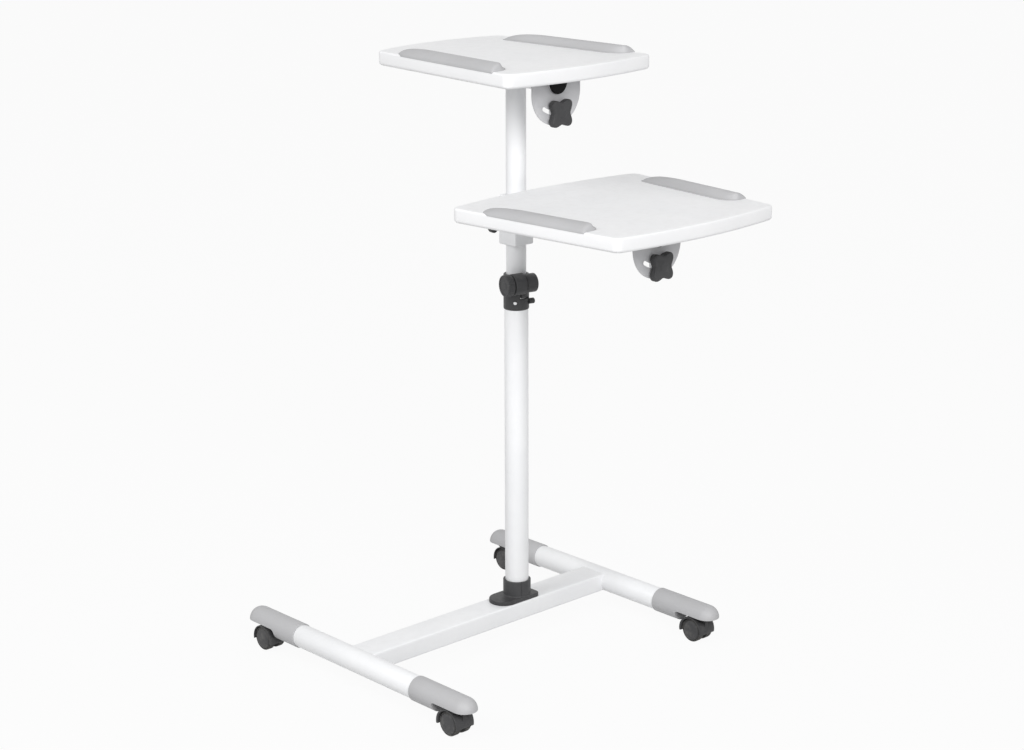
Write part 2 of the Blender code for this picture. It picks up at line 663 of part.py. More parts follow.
def foot_mesh():
    left = -FOOT_REACH_LEFT
    right = FOOT_REACH_RIGHT
    half = FOOT_HALF_WIDTH
    def outline(inset):
        corners = [(left + inset, inset - half), (right - inset, inset - half)]
        corners += [(right - inset, half - inset), (left + inset, half - inset)]
        end = half - inset - WELD_SINK
        corner = FOOT_CORNER_ROUND - inset
        return rounded(corners, (end, corner, corner, end), 5)
    shape = bmesh.new()
    rows = []
    levels = ((0, 0), (FOOT_THICKNESS - FOOT_EDGE_ROUND, 0), (FOOT_THICKNESS, FOOT_EDGE_ROUND))
    for z, inset in levels:
        rows.append([shape.verts.new((x, y, FOOT_BOTTOM + z)) for x, y in outline(inset)])
    for one, two in zip(rows, rows[1:]):
        bridge(shape, one, two)
    shape.faces.new(rows[0])
    shape.faces.new(rows[-1])
    foot = from_bmesh("column_foot", shape)
    collar_low = FOOT_PLATE_TOP - 2 * WELD_SINK
    collar = round_edge_profile(FOOT_COLLAR_RADIUS, collar_low, FOOT_COLLAR_TOP, FOOT_COLLAR_ROUND)
    fuse(foot, lathe("collar", collar[2:], TUBE_FACETS))
    low = FOOT_BOTTOM - CUT_OVERRUN
    bore = rod("bore", OUTER_RADIUS + FIT_GAP, low, FOOT_COLLAR_TOP + CUT_OVERRUN, TUBE_FACETS)
    cut(foot, bore)
    half_groove = FOOT_GROOVE_WIDTH / 2
    front = FOOT_COLLAR_RADIUS + CUT_OVERRUN
    groove_low = (-half_groove, -front, FOOT_PLATE_TOP + FOOT_COLLAR_ROUND)
    groove_high = (half_groove, FOOT_GROOVE_DEPTH - FOOT_COLLAR_RADIUS, FOOT_COLLAR_TOP + CUT_OVERRUN)
    groove = moved(box("groove", groove_low, groove_high), Matrix.Rotation(FOOT_GROOVE_TURN, 4, "Z"))
    cut(foot, groove)
    return shifted(foot, x=COLUMN_X, y=COLUMN_Y)


def bush_mesh():
    """Plastic guide bush: a sleeve between the two tubes, with a flange on the outer tube's end."""
    inner = INNER_RADIUS + FIT_GAP
    sleeve = OUTER_RADIUS - OUTER_WALL - FIT_GAP
    top = OUTER_TOP + FIT_GAP
    profile = [
        (sleeve, top - BUSH_LENGTH),
        (sleeve, top),
        (OUTER_RADIUS, top),
        (OUTER_RADIUS, top + BUSH_FLANGE),
        (inner, top + BUSH_FLANGE),
        (inner, top - BUSH_LENGTH),
    ]
    return lathe("guide_bush", profile, TUBE_FACETS, closed=True)


def build_column(materials, base):
    finish(foot_mesh(), materials["black_plastic"], base)
    outer = pipe("outer_column", OUTER_RADIUS, OUTER_WALL, OUTER_BOTTOM, OUTER_TOP)
    finish(shifted(outer, x=COLUMN_X, y=COLUMN_Y), materials["white_metal"], base)
    bush = shifted(bush_mesh(), x=COLUMN_X, y=COLUMN_Y)
    finish(bush, materials["black_plastic"], base)


# Mast clamp, built about the column's axis and then turned

def clamp_frame():
    return Matrix.Translation((COLUMN_X, COLUMN_Y, 0)) @ Matrix.Rotation(CLAMP_TURN, 4, "Z")


def across_clamp(piece):
    """Lay a piece turned about Z along the clamp bolt's axis."""
    return shifted(moved(piece, ALONG_X), y=-CLAMP_EAR_FORWARD, z=CLAMP_EAR_Z)


def clamp_mesh():
    tube = round_edge_profile(CLAMP_RADIUS, CLAMP_BOTTOM, CLAMP_TOP, CLAMP_EDGE_ROUND)
    body = lathe("clamp_collar", tube)
    middle = CLAMP_SLIT_START + CLAMP_SLIT / 2
    margin = 2 * CLAMP_EAR_ROUND
    low_z = CLAMP_EAR_Z - CLAMP_RIGHT_EAR_RADIUS + margin
    bridge_low = (CLAMP_LEFT_EAR_START + margin, -CLAMP_EAR_FORWARD, low_z)
    bridge_high = (CLAMP_RIGHT_EAR_END - margin, -CLAMP_RADIUS / 4, CLAMP_TOP - 2 * CLAMP_EDGE_ROUND)
    fuse(body, box("bridge", bridge_low, bridge_high))
    ears = (
        (CLAMP_LEFT_EAR_RADIUS, CLAMP_LEFT_EAR_START, middle + FIT_GAP),
        (CLAMP_RIGHT_EAR_RADIUS, middle - FIT_GAP, CLAMP_RIGHT_EAR_END),
    )
    for radius, start, end in ears:
        ear = lathe("ear", round_edge_profile(radius, start, end, CLAMP_EAR_ROUND), EAR_FACETS)
        fuse(body, across_clamp(ear))
    guide_top = OUTER_TOP + BUSH_FLANGE + 2 * FIT_GAP
    over = CLAMP_EAR_Z + CLAMP_LEFT_EAR_RADIUS + CUT_OVERRUN
    front = -CLAMP_EAR_FORWARD - CLAMP_LEFT_EAR_RADIUS - CUT_OVERRUN
    slot_low = CLAMP_SLOT_Z - CLAMP_SLOT_HEIGHT / 2
    slit_end = CLAMP_SLIT_START + CLAMP_SLIT
    cut(
        body,
        rod("lower_bore", OUTER_RADIUS + FIT_GAP, CLAMP_BOTTOM - CUT_OVERRUN, guide_top, TUBE_FACETS),
        rod("upper_bore", INNER_RADIUS + FIT_GAP, guide_top - CUT_OVERRUN / 2, over, TUBE_FACETS),
        box("slit", (CLAMP_SLIT_START, front, slot_low - WELD_SINK), (slit_end, 0, over)),
        box(
            "slot",
            (middle, front + WELD_SINK, slot_low),
            (CLAMP_RADIUS + CUT_OVERRUN, -STOP_PIN_FORWARD / 2, slot_low + CLAMP_SLOT_HEIGHT),
        ),
        across_clamp(rod("hole", CLAMP_BOLT_RADIUS + RUN_GAP, -CLAMP_EAR_FORWARD, CLAMP_EAR_FORWARD)),
    )
    pocket_start = CLAMP_RIGHT_EAR_END - CLAMP_NUT_DEPTH - FIT_GAP
    pocket = rod("pocket", CLAMP_NUT_RADIUS + FIT_GAP, pocket_start, CLAMP_RIGHT_EAR_END + CUT_OVERRUN, 6)
    outside = CLAMP_RADIUS + CUT_OVERRUN
    pin_hole = rod("pin_hole", STOP_PIN_RADIUS + FIT_GAP, STOP_PIN_START - FIT_GAP, outside, SMALL_FACETS)
    screw_hole = rod("screw_hole", SCREW_RADIUS + FIT_GAP, CLAMP_RADIUS - SCREW_LENGTH - FIT_GAP, outside, 8)
    cut(
        body,
        across_clamp(pocket),
        shifted(moved(pin_hole, ALONG_X), y=-STOP_PIN_FORWARD, z=STOP_PIN_Z),
        aim_screw(screw_hole),
    )
    return moved(body, clamp_frame())


def aim_screw(piece):
    moved(piece, Matrix.Rotation(SCREW_TURN, 4, "Z") @ ALONG_X)
    return shifted(piece, z=SCREW_Z)


def screw_mesh():
    start = CLAMP_RADIUS - SCREW_LENGTH
    seat = CLAMP_RADIUS + FIT_GAP
    edge = SCREW_HEAD / 2
    profile = [(SCREW_RADIUS, start), (SCREW_RADIUS, seat), (SCREW_HEAD_RADIUS, seat)]
    profile += [(SCREW_HEAD_RADIUS, seat + SCREW_HEAD - edge), (SCREW_HEAD_RADIUS - edge, seat + SCREW_HEAD)]
    return moved(aim_screw(lathe("clamp_screw", profile, SMALL_FACETS)), clamp_frame())


def clamp_knob_mesh():
    """Round grip with a dished face and the clamp's bolt in one piece, along the clamp's X axis."""
    end = CLAMP_LEFT_EAR_START - CLAMP_KNOB_GAP
    start = end - CLAMP_KNOB_WIDTH
    rim = round_edge_profile(CLAMP_LEFT_EAR_RADIUS, start, end, CLAMP_EAR_ROUND)
    dish = CLAMP_LEFT_EAR_RADIUS - 3 * CLAMP_EAR_ROUND
    floor = start + CLAMP_KNOB_RECESS
    washer = CLAMP_BOLT_RADIUS * 2
    seat = end + CLAMP_KNOB_GAP - FIT_GAP
    profile = [(0, floor), (dish, floor), (dish + CLAMP_KNOB_RECESS, start)]
    profile += rim + [(washer, end), (washer, seat), (CLAMP_BOLT_RADIUS, seat)]
    profile += [(CLAMP_BOLT_RADIUS, CLAMP_RIGHT_EAR_END - CLAMP_NUT_DEPTH - 2 * FIT_GAP)]
    return moved(across_clamp(lathe("clamp_knob", profile, EAR_FACETS)), clamp_frame())


def build_clamp(materials, base):
    finish(clamp_mesh(), materials["black_plastic"], base)
    nut = rod("clamp_nut", CLAMP_NUT_RADIUS, CLAMP_RIGHT_EAR_END - CLAMP_NUT_DEPTH, CLAMP_RIGHT_EAR_END, 6)
    finish(moved(across_clamp(nut), clamp_frame()), materials["steel"], base)
    finish(screw_mesh(), materials["steel"], base)
    pin_profile = round_edge_profile(STOP_PIN_RADIUS, STOP_PIN_START, STOP_PIN_END, CLAMP_EDGE_ROUND)
    pin = moved(lathe("stop_pin", pin_profile, SMALL_FACETS), ALONG_X)
    shifted(pin, y=-STOP_PIN_FORWARD, z=STOP_PIN_Z)
    finish(moved(pin, clamp_frame()), materials["black_plastic"], base)
    knob_place = clamp_frame() @ Vector((CLAMP_LEFT_EAR_START, -CLAMP_EAR_FORWARD, CLAMP_EAR_Z))
    turning = carrier("clamp_knob_axis", knob_place, base)
    finish(clamp_knob_mesh(), materials["black_plastic"], turning, knob_place)


# Mast and sleeve

def pivot_tube(name, start, end, z):
    tube = moved(pipe(name, PIVOT_TUBE_RADIUS, PIVOT_TUBE_WALL, start, end), ALONG_Y)
    return shifted(tube, x=COLUMN_X, z=z)


def pivot_cap(name, end, outward, z):
    """Plug with a flange on the tube's end face."""
    plug = PIVOT_TUBE_RADIUS - PIVOT_TUBE_WALL - FIT_GAP
    face = FIT_GAP
    edge = PIVOT_CAP_WIDTH / 3
    profile = [(plug, -PIVOT_CAP_PLUG), (plug, face), (PIVOT_CAP_RADIUS, face)]
    end_face = face + PIVOT_CAP_WIDTH
    profile += [(PIVOT_CAP_RADIUS, end_face - edge), (PIVOT_CAP_RADIUS - edge, end_face)]
    cap = moved(lathe(name, profile, CAP_FACETS), ALONG_Y)
    if outward < 0:
        moved(cap, Matrix.Rotation(math.pi, 4, "Z"))
    return shifted(cap, x=COLUMN_X, y=end, z=z)


def lug_mesh(name, plate_y, z):
    """Flat lug welded under a pivot tube, just behind the front tilt plate."""
    half = LUG_HALF_WIDTH
    outline = [(-half, 0)] + arc((0, -SLOT_RADIUS), half, math.pi, 2 * math.pi, 10) + [(half, 0)]
    start = plate_y + PLATE_THICKNESS / 2 + FIT_GAP
    lug = prism(name, outline, -start - LUG_THICKNESS, -start)
    moved(lug, Matrix.Rotation(math.radians(90), 4, "X"))
    tube_end = plate_y + LUG_THICKNESS * 3
    tube = moved(rod("tube", PIVOT_TUBE_RADIUS + FIT_GAP, plate_y, tube_end, TUBE_FACETS), ALONG_Y)
    hole_end = start + LUG_THICKNESS + CUT_OVERRUN
    hole = moved(rod("hole", TILT_BOLT_RADIUS + FIT_GAP, plate_y, hole_end), ALONG_Y)
    cut(lug, tube, shifted(hole, z=-SLOT_RADIUS))
    return shifted(lug, x=COLUMN_X, z=z)


def tilt_bolt_mesh(name, plate_y, z):
    """Hexagon head behind the lug, shank through lug, slot and into the knob."""
    back = plate_y + PLATE_THICKNESS / 2 + LUG_THICKNESS + 2 * FIT_GAP
    front = plate_y - PLATE_THICKNESS / 2 - KNOB_BORE
    shank = rod(name, TILT_BOLT_RADIUS, front, back + WELD_SINK)
    fuse(shank, rod("head", TILT_BOLT_HEAD_RADIUS, back, back + TILT_BOLT_HEAD, 6))
    return shifted(moved(shank, ALONG_Y), x=COLUMN_X, z=z - SLOT_RADIUS)


def tilt_knob_mesh(name, plate_y, z):
    knob = lobed_knob(name, KNOB_TIP, KNOB_WAIST, KNOB_WIDTH, KNOB_EDGE_ROUND)
    shifted(knob, z=KNOB_HUB)
    fuse(knob, rod("hub", KNOB_HUB_RADIUS, 0, KNOB_HUB + WELD_SINK, SMALL_FACETS))
    cut(knob, rod("bore", TILT_BOLT_RADIUS + FIT_GAP, -CUT_OVERRUN, KNOB_BORE, PIN_FACETS))
    moved(knob, Matrix.Rotation(math.radians(90), 4, "X"))
    return shifted(knob, x=COLUMN_X, y=plate_y - PLATE_THICKNESS / 2 - FIT_GAP, z=z - SLOT_RADIUS)


def build_mast(materials, mast):
    column = pipe("inner_column", INNER_RADIUS, INNER_WALL, INNER_BOTTOM, UPPER_PIVOT_Z)
    reach = INNER_RADIUS * 2
    saddle = moved(rod("saddle", PIVOT_TUBE_RADIUS + FIT_GAP, -reach, reach, TUBE_FACETS), ALONG_Y)
    cut(column, shifted(saddle, z=UPPER_PIVOT_Z))
    finish(shifted(column, x=COLUMN_X, y=COLUMN_Y), materials["white_metal"], mast)
    reach = PLATE_THICKNESS / 2 + PIVOT_TUBE_PROUD
    front = UPPER_FRONT_PLATE_Y - reach
    rear = UPPER_REAR_PLATE_Y + reach
    finish(pivot_tube("head_tube", front, rear, UPPER_PIVOT_Z), materials["white_metal"], mast)
    finish(pivot_cap("head_cap_front", front, -1, UPPER_PIVOT_Z), materials["black_plastic"], mast)
    finish(pivot_cap("head_cap_rear", rear, 1, UPPER_PIVOT_Z), materials["black_plastic"], mast)
    finish(lug_mesh("upper_tilt_lug", UPPER_FRONT_PLATE_Y, UPPER_PIVOT_Z), materials["white_metal"], mast)
    bolt = tilt_bolt_mesh("upper_tilt_bolt", UPPER_FRONT_PLATE_Y, UPPER_PIVOT_Z)
    finish(bolt, materials["steel"], mast)
    place = (COLUMN_X, UPPER_FRONT_PLATE_Y, UPPER_PIVOT_Z - SLOT_RADIUS)
    turning = carrier("upper_tilt_knob_axis", place, mast)
    knob = tilt_knob_mesh("upper_tilt_knob", UPPER_FRONT_PLATE_Y, UPPER_PIVOT_Z)
    finish(knob, materials["black_plastic"], turning, place)


def sleeve_mesh():
    corners = [(-SLEEVE_HALF_X, -SLEEVE_HALF_Y), (SLEEVE_HALF_X, -SLEEVE_HALF_Y)]
    corners += [(SLEEVE_HALF_X, SLEEVE_HALF_Y), (-SLEEVE_HALF_X, SLEEVE_HALF_Y)]
    shape = bmesh.new()
    rows = []
    edge = SLEEVE_ROUND
    levels = ((SLEEVE_BOTTOM, edge), (SLEEVE_BOTTOM + edge, 0), (SLEEVE_TOP - edge, 0), (SLEEVE_TOP, edge))
    for z, inset in levels:
        inner = [(x - math.copysign(inset, x), y - math.copysign(inset, y)) for x, y in corners]
        rows.append([shape.verts.new((x, y, z)) for x, y in rounded(inner, (edge,) * 4, 3)])
    for one, two in zip(rows, rows[1:]):
        bridge(shape, one, two)
    shape.faces.new(rows[0])
    shape.faces.new(rows[-1])
    block = from_bmesh("sleeve_block", shape)
    bore_radius = INNER_RADIUS + FIT_GAP
    bore = rod("bore", bore_radius, SLEEVE_BOTTOM - CUT_OVERRUN, SLEEVE_TOP + CUT_OVERRUN, TUBE_FACETS)
    hole = moved(rod("hole", TILT_BOLT_RADIUS + RUN_GAP, 0, SLEEVE_HALF_Y + CUT_OVERRUN), ALONG_Y)
    cut(block, bore, shifted(hole, z=SLEEVE_KNOB_Z))
    return shifted(block, x=COLUMN_X, y=COLUMN_Y)


def sleeve_knob_mesh():
    """Lobed grip, neck and screw in one; the screw's tip meets the inner column."""
    knob = lobed_knob("sleeve_knob", SLEEVE_KNOB_TIP, SLEEVE_KNOB_WAIST, SLEEVE_KNOB_WIDTH, KNOB_EDGE_ROUND)
    shifted(knob, z=SLEEVE_BACK_Y + SLEEVE_KNOB_NECK)
    neck_start = SLEEVE_BACK_Y + FIT_GAP
    neck_end = SLEEVE_BACK_Y + SLEEVE_KNOB_NECK + WELD_SINK
    neck = rod("neck", SLEEVE_KNOB_NECK_RADIUS, neck_start, neck_end, SMALL_FACETS)
    tip = COLUMN_Y + INNER_RADIUS + FIT_GAP
    screw = rod("screw", TILT_BOLT_RADIUS, tip, neck_start + WELD_SINK)
    fuse(knob, neck, screw)
    return shifted(moved(knob, ALONG_Y), x=COLUMN_X, z=SLEEVE_KNOB_Z)


def build_sleeve(materials, sleeve):
    finish(sleeve_mesh(), materials["white_metal"], sleeve)
    front = LOWER_FRONT_PLATE_Y - PLATE_THICKNESS / 2 - PIVOT_TUBE_PROUD
    arm = pivot_tube("lower_arm", front, SLEEVE_FRONT_Y - FIT_GAP, LOWER_PIVOT_Z)
    finish(arm, materials["white_metal"], sleeve)
    finish(pivot_cap("arm_cap", front, -1, LOWER_PIVOT_Z), materials["black_plastic"], sleeve)
    finish(lug_mesh("lower_tilt_lug", LOWER_FRONT_PLATE_Y, LOWER_PIVOT_Z), materials["white_metal"], sleeve)
    bolt = tilt_bolt_mesh("lower_tilt_bolt", LOWER_FRONT_PLATE_Y, LOWER_PIVOT_Z)
    finish(bolt, materials["steel"], sleeve)
    place = (COLUMN_X, LOWER_FRONT_PLATE_Y, LOWER_PIVOT_Z - SLOT_RADIUS)
    turning = carrier("lower_tilt_knob_axis", place, sleeve)
    knob = tilt_knob_mesh("lower_tilt_knob", LOWER_FRONT_PLATE_Y, LOWER_PIVOT_Z)
    finish(knob, materials["black_plastic"], turning, place)
    knob_place = (COLUMN_X, SLEEVE_BACK_Y, SLEEVE_KNOB_Z)
    rear = carrier("sleeve_knob_axis", knob_place, sleeve)
    finish(sleeve_knob_mesh(), materials["black_plastic"], rear, knob_place)


# Trays, built about their tilt axis at X = 0 and then moved

def tray_outline(tray, inset):
    """Trapezoid with bowed front and back edges and round corners, drawn in by 'inset'."""
    half_front = tray["half_front"] - inset
    half_back = tray["half_back"] - inset
    front = tray["front"] + inset
    back = tray["back"] - inset
    bow_steps = 6
    points = []
    radii = []
    for i in range(bow_steps + 1):
        share = 2 * i / bow_steps - 1
        points.append((half_front * share, front - TRAY_FRONT_BOW * (1 - share ** 2)))
        radii.append(TRAY_FRONT_CORNER - inset if abs(share) == 1 else 0)
    for i in range(bow_steps + 1):
        share = 1 - 2 * i / bow_steps
        points.append((half_back * share, back + TRAY_BACK_BOW * (1 - share ** 2)))
        radii.append(TRAY_BACK_CORNER - inset if abs(share) == 1 else 0)
    return rounded(points, radii, 4)


def lip_span(tray):
    return tray["front"] + tray["lip_margins"][0], tray["back"] - tray["lip_margins"][1]


def side_x(tray, y):
    """Half width of the tray at y, outside the corners."""
    share = (y - tray["front"]) / (tray["back"] - tray["front"])
    return tray["half_front"] + (tray["half_back"] - tray["half_front"]) * share


def lip_edges(share):
    """How far a lip's outer and inner sides lie from the tray's side, at a share of its length."""
    nose = max(0, 1 - share / LIP_NOSE_SHARE)
    bulge = 1 - math.sqrt(1 - nose ** 2)
    sweep = max(0, (share - LIP_SWEEP_START) / (1 - LIP_SWEEP_START)) ** LIP_SWEEP_POWER
    outer = TRAY_TOP_ROUND + LIP_NOSE_OUTER * bulge + LIP_SWEEP * sweep
    return outer, TRAY_TOP_ROUND + LIP_WIDTH - LIP_NOSE_INNER * bulge


def lip_height(share):
    """Crest height at a share of the length, above the foot and as a share of the middle's."""
    power = LIP_BLUNT_POWERS[0] if share < 0.5 else LIP_BLUNT_POWERS[1]
    return LIP_END_SHARE + (1 - LIP_END_SHARE) * (1 - abs(2 * share - 1) ** power)


def lip_stations():
    """Shares of a lip's length, closer together towards its ends."""
    return [(1 - math.cos(math.pi * i / LIP_STATIONS)) / 2 for i in range(LIP_STATIONS + 1)]


def lip_seat(tray, gap):
    """Plan outline of the step for a right-hand lip: open at the tray's side, a gap clear of the lip inside."""
    low, high = lip_span(tray)
    inner = []
    for share in lip_stations():
        y = low + (high - low) * share
        inner.append((side_x(tray, y) - lip_edges(share)[1] - gap, y + gap * (2 * share - 1)))
    start = inner[0][1]
    end = inner[-1][1]
    outer = [(side_x(tray, start) + TRAY_SKIRT, start), (side_x(tray, end) + TRAY_SKIRT, end)]
    return outer + inner[::-1]


def tray_mesh(tray):
    top = tray["top"]
    bottom = top - TRAY_THICKNESS
    ceiling = top - TRAY_PANEL
    levels = [(TRAY_SKIRT, bottom)]
    for i in range(3):
        angle = math.pi / 2 * i / 2
        inset = TRAY_BOTTOM_ROUND * (1 - math.sin(angle))
        levels.append((inset, bottom + TRAY_BOTTOM_ROUND * (1 - math.cos(angle))))
    for i in range(3):
        angle = math.pi / 2 * i / 2
        levels.append((TRAY_TOP_ROUND * (1 - math.cos(angle)), top - TRAY_TOP_ROUND * (1 - math.sin(angle))))
    shape = bmesh.new()
    rows = [[shape.verts.new((x, y, z)) for x, y in tray_outline(tray, inset)] for inset, z in levels]
    rows.insert(0, [shape.verts.new((x, y, ceiling)) for x, y in tray_outline(tray, TRAY_SKIRT)])
    for one, two in zip(rows, rows[1:]):
        bridge(shape, one, two)
    shape.faces.new(rows[0])
    shape.faces.new(rows[-1])
    board = from_bmesh(tray["name"], shape)
    return add_tray_details(board, tray)


def add_tray_details(board, tray):
    top = tray["top"]
    for mirror in (1, -1):
        outline = [(mirror * px, py) for px, py in lip_seat(tray, FIT_GAP)]
        cut(board, prism("seat", outline, top - LIP_SEAT, top + CUT_OVERRUN))
    if tray["notch"]:
        notch_radius = PIVOT_TUBE_RADIUS + TRAY_TOP_ROUND
        notch_start = tray["back"] - TRAY_BACK_CORNER
        notch_end = tray["back"] + TRAY_BACK_BOW + CUT_OVERRUN
        notch = moved(rod("notch", notch_radius, notch_start, notch_end, TUBE_FACETS), ALONG_Y)
        cut(board, shifted(notch, z=top - TRAY_PIVOT_DROP))
    return shifted(board, x=COLUMN_X)


def lip_mesh(tray, name, mirror):
    """Guard on the tray's top: a steep outer face, a crest near the edge and a slope that runs inward."""
    base = tray["top"] - LIP_SEAT + FIT_GAP
    foot = LIP_SEAT - FIT_GAP + LIP_FOOT
    low, high = lip_span(tray)
    shape = bmesh.new()
    rows = []
    for share in lip_stations():
        y = low + (high - low) * share
        outer, inner = lip_edges(share)
        edge = side_x(tray, y) - outer
        width = inner - outer
        rise = (LIP_HEIGHT - LIP_FOOT) * lip_height(share)
        crest_in = min(LIP_CREST, width / 2)
        slope = width - crest_in
        section = [(0, 0), (0, foot)]
        section += [(crest_in * across, foot + rise * up) for across, up in LIP_OUTER_SHARES]
        section.append((crest_in, foot + rise))
        section += [(crest_in + slope * across, foot + rise * up) for across, up in LIP_INNER_SHARES]
        section += [(width, foot), (width, 0)]
        rows.append([shape.verts.new((mirror * (edge - inset), y, base + up)) for inset, up in section])
    for one, two in zip(rows, rows[1:]):
        bridge(shape, one, two)
    shape.faces.new(rows[0])
    shape.faces.new(rows[-1])
    lip = from_bmesh(name, shape)
    return shifted(lip, x=COLUMN_X)


def slot_outline():
    """Arc slot about the tilt axis, drawn in the plate's plane with the axis at (0, 0)."""
    half = TILT_BOLT_RADIUS + FIT_GAP
    middle = -math.pi / 2
    start = middle - SLOT_HALF_ANGLE
    end = middle + SLOT_HALF_ANGLE
    outline = arc((0, 0), SLOT_RADIUS + half, start, end, 8)
    tip = (SLOT_RADIUS * math.cos(end), SLOT_RADIUS * math.sin(end))
    outline += arc(tip, half, end, end + math.pi, 4)[1:]
    outline += arc((0, 0), SLOT_RADIUS - half, end, start, 8)[1:]
    tip = (SLOT_RADIUS * math.cos(start), SLOT_RADIUS * math.sin(start))
    outline += arc(tip, half, start + math.pi, start + 2 * math.pi, 4)[1:-1]
    return outline


def plate_mesh(name, half, arc_drop, foot_half):
    """Bent steel plate with an eye for the pivot tube, its axis along Z and its foot towards +Z."""
    head = TRAY_PIVOT_DROP - TRAY_PANEL - FIT_GAP
    outline = [(-half, head)] + arc((0, -arc_drop), half, math.pi, 2 * math.pi, 18) + [(half, head)]
    plate = prism(name, outline, -PLATE_THICKNESS / 2, PLATE_THICKNESS / 2)
    foot_low = (-foot_half, head - PLATE_THICKNESS, 0)
    fuse(plate, box("foot", foot_low, (foot_half, head, PLATE_FOOT_DEPTH)))
    return cut(plate, rod("eye", PIVOT_TUBE_RADIUS + RUN_GAP, -PLATE_THICKNESS, PLATE_THICKNESS, TUBE_FACETS))


def tilt_plate_mesh(name):
    """Front plate: a half-round web with the arc slot that the knob's bolt runs in."""
    plate = plate_mesh(name, PLATE_HALF_WIDTH, PLATE_ARC_DROP, PLATE_FOOT_HALF)
    cut(plate, prism("slot", slot_outline(), -PLATE_THICKNESS, PLATE_THICKNESS))
    return moved(plate, Matrix.Rotation(math.pi, 4, "Y"))


def hinge_plate_mesh(name):
    """Rear plate: a small ear round the pivot tube."""
    return plate_mesh(name, PIVOT_TUBE_RADIUS + EAR_WALL, 0, EAR_FOOT_HALF)


def build_tray(materials, tray, parent):
    finish(tray_mesh(tray), materials["white_board"], parent, tray["pivot"])
    for side, mirror in (("left", -1), ("right", 1)):
        lip = lip_mesh(tray, f"{tray['name']}_lip_{side}", mirror)
        finish(lip, materials["grey_plastic"], parent, tray["pivot"])
    front = tilt_plate_mesh(f"{tray['name']}_plate_front")
    rear = hinge_plate_mesh(f"{tray['name']}_plate_rear")
    for plate, plate_y in zip((front, rear), tray["plates"]):
        moved(plate, Matrix.Rotation(math.radians(90), 4, "X"))
        shifted(plate, x=COLUMN_X, y=plate_y, z=tray["top"] - TRAY_PIVOT_DROP)
        finish(plate, materials["grey_metal"], parent, tray["pivot"])


LOWER_TRAY = {
    "name": "lower_tray",
    "top": LOWER_TOP,
    "half_front": LOWER_HALF_FRONT,
    "half_back": LOWER_HALF_BACK,
    "front": LOWER_FRONT_Y,
    "back": LOWER_BACK_Y,
    "plates": (LOWER_FRONT_PLATE_Y, LOWER_REAR_PLATE_Y),
    "pivot": (COLUMN_X, LOWER_FRONT_PLATE_Y, LOWER_PIVOT_Z),
    "lip_margins": (LIP_FRONT_MARGIN, LIP_BACK_MARGIN),
    "notch": True,
}
UPPER_TRAY = {
    "name": "upper_tray",
    "top": UPPER_TOP,
    "half_front": UPPER_HALF_FRONT,
    "half_back": UPPER_HALF_BACK,
    "front": UPPER_FRONT_Y,
    "back": UPPER_BACK_Y,
    "plates": (UPPER_FRONT_PLATE_Y, UPPER_REAR_PLATE_Y),
    "pivot": (COLUMN_X, UPPER_FRONT_PLATE_Y, UPPER_PIVOT_Z),
    "lip_margins": (LIP_UPPER_FRONT_MARGIN, LIP_UPPER_BACK_MARGIN),
    "notch": False,
}


def main():
    clear_scene()
    materials = make_materials()
    base = carrier("cart", (0, 0, 0))
    build_base(materials, base)
    build_casters(materials, base)
    build_column(materials, base)
    build_clamp(materials, base)
    mast = carrier("mast", (COLUMN_X, COLUMN_Y, CLAMP_TOP), base)
    build_mast(materials, mast)
    sleeve = carrier("sleeve", (COLUMN_X, COLUMN_Y, SLEEVE_BOTTOM), mast)
    build_sleeve(materials, sleeve)
    build_tray(materials, LOWER_TRAY, carrier("lower_tilt", LOWER_TRAY["pivot"], sleeve))
    build_tray(materials, UPPER_TRAY, carrier("upper_tilt", UPPER_TRAY["pivot"], mast))
    bpy.context.view_layer.update()


main()
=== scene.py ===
import json
from math import atan2, copysign, cos, hypot, pi, radians, sin, sqrt, tan

import bmesh
import bpy
from mathutils import Matrix, Vector

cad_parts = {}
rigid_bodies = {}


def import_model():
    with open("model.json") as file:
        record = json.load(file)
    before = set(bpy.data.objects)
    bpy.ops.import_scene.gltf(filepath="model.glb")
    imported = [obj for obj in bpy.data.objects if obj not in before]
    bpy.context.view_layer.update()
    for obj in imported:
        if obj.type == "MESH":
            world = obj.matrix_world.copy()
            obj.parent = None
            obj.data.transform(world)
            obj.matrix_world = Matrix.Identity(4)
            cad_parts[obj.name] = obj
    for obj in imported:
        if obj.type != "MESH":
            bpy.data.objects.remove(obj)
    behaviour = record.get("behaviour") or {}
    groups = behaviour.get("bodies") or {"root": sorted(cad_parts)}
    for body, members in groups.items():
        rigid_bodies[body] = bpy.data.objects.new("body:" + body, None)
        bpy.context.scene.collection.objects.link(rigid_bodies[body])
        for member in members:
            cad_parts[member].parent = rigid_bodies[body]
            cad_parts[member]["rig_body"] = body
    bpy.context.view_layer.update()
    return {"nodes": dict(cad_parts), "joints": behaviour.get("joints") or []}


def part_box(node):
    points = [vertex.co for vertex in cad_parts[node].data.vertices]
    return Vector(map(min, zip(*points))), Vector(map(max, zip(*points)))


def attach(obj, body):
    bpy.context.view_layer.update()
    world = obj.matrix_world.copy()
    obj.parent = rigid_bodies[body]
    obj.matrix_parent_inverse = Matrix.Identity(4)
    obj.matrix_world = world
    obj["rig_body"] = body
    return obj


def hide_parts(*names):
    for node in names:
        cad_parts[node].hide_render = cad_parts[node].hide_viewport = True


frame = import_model()
print("cart frame loaded:", len(frame["nodes"]), "nodes")


# Places read from the frame

def boxMiddle(node):
    low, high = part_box(node)
    return (low + high) / 2


def jointPlace(name):
    return Vector(next(joint["pos_m"] for joint in frame["joints"] if joint["name"] == name))


def bodyOf(node):
    return frame["nodes"][node]["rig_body"]


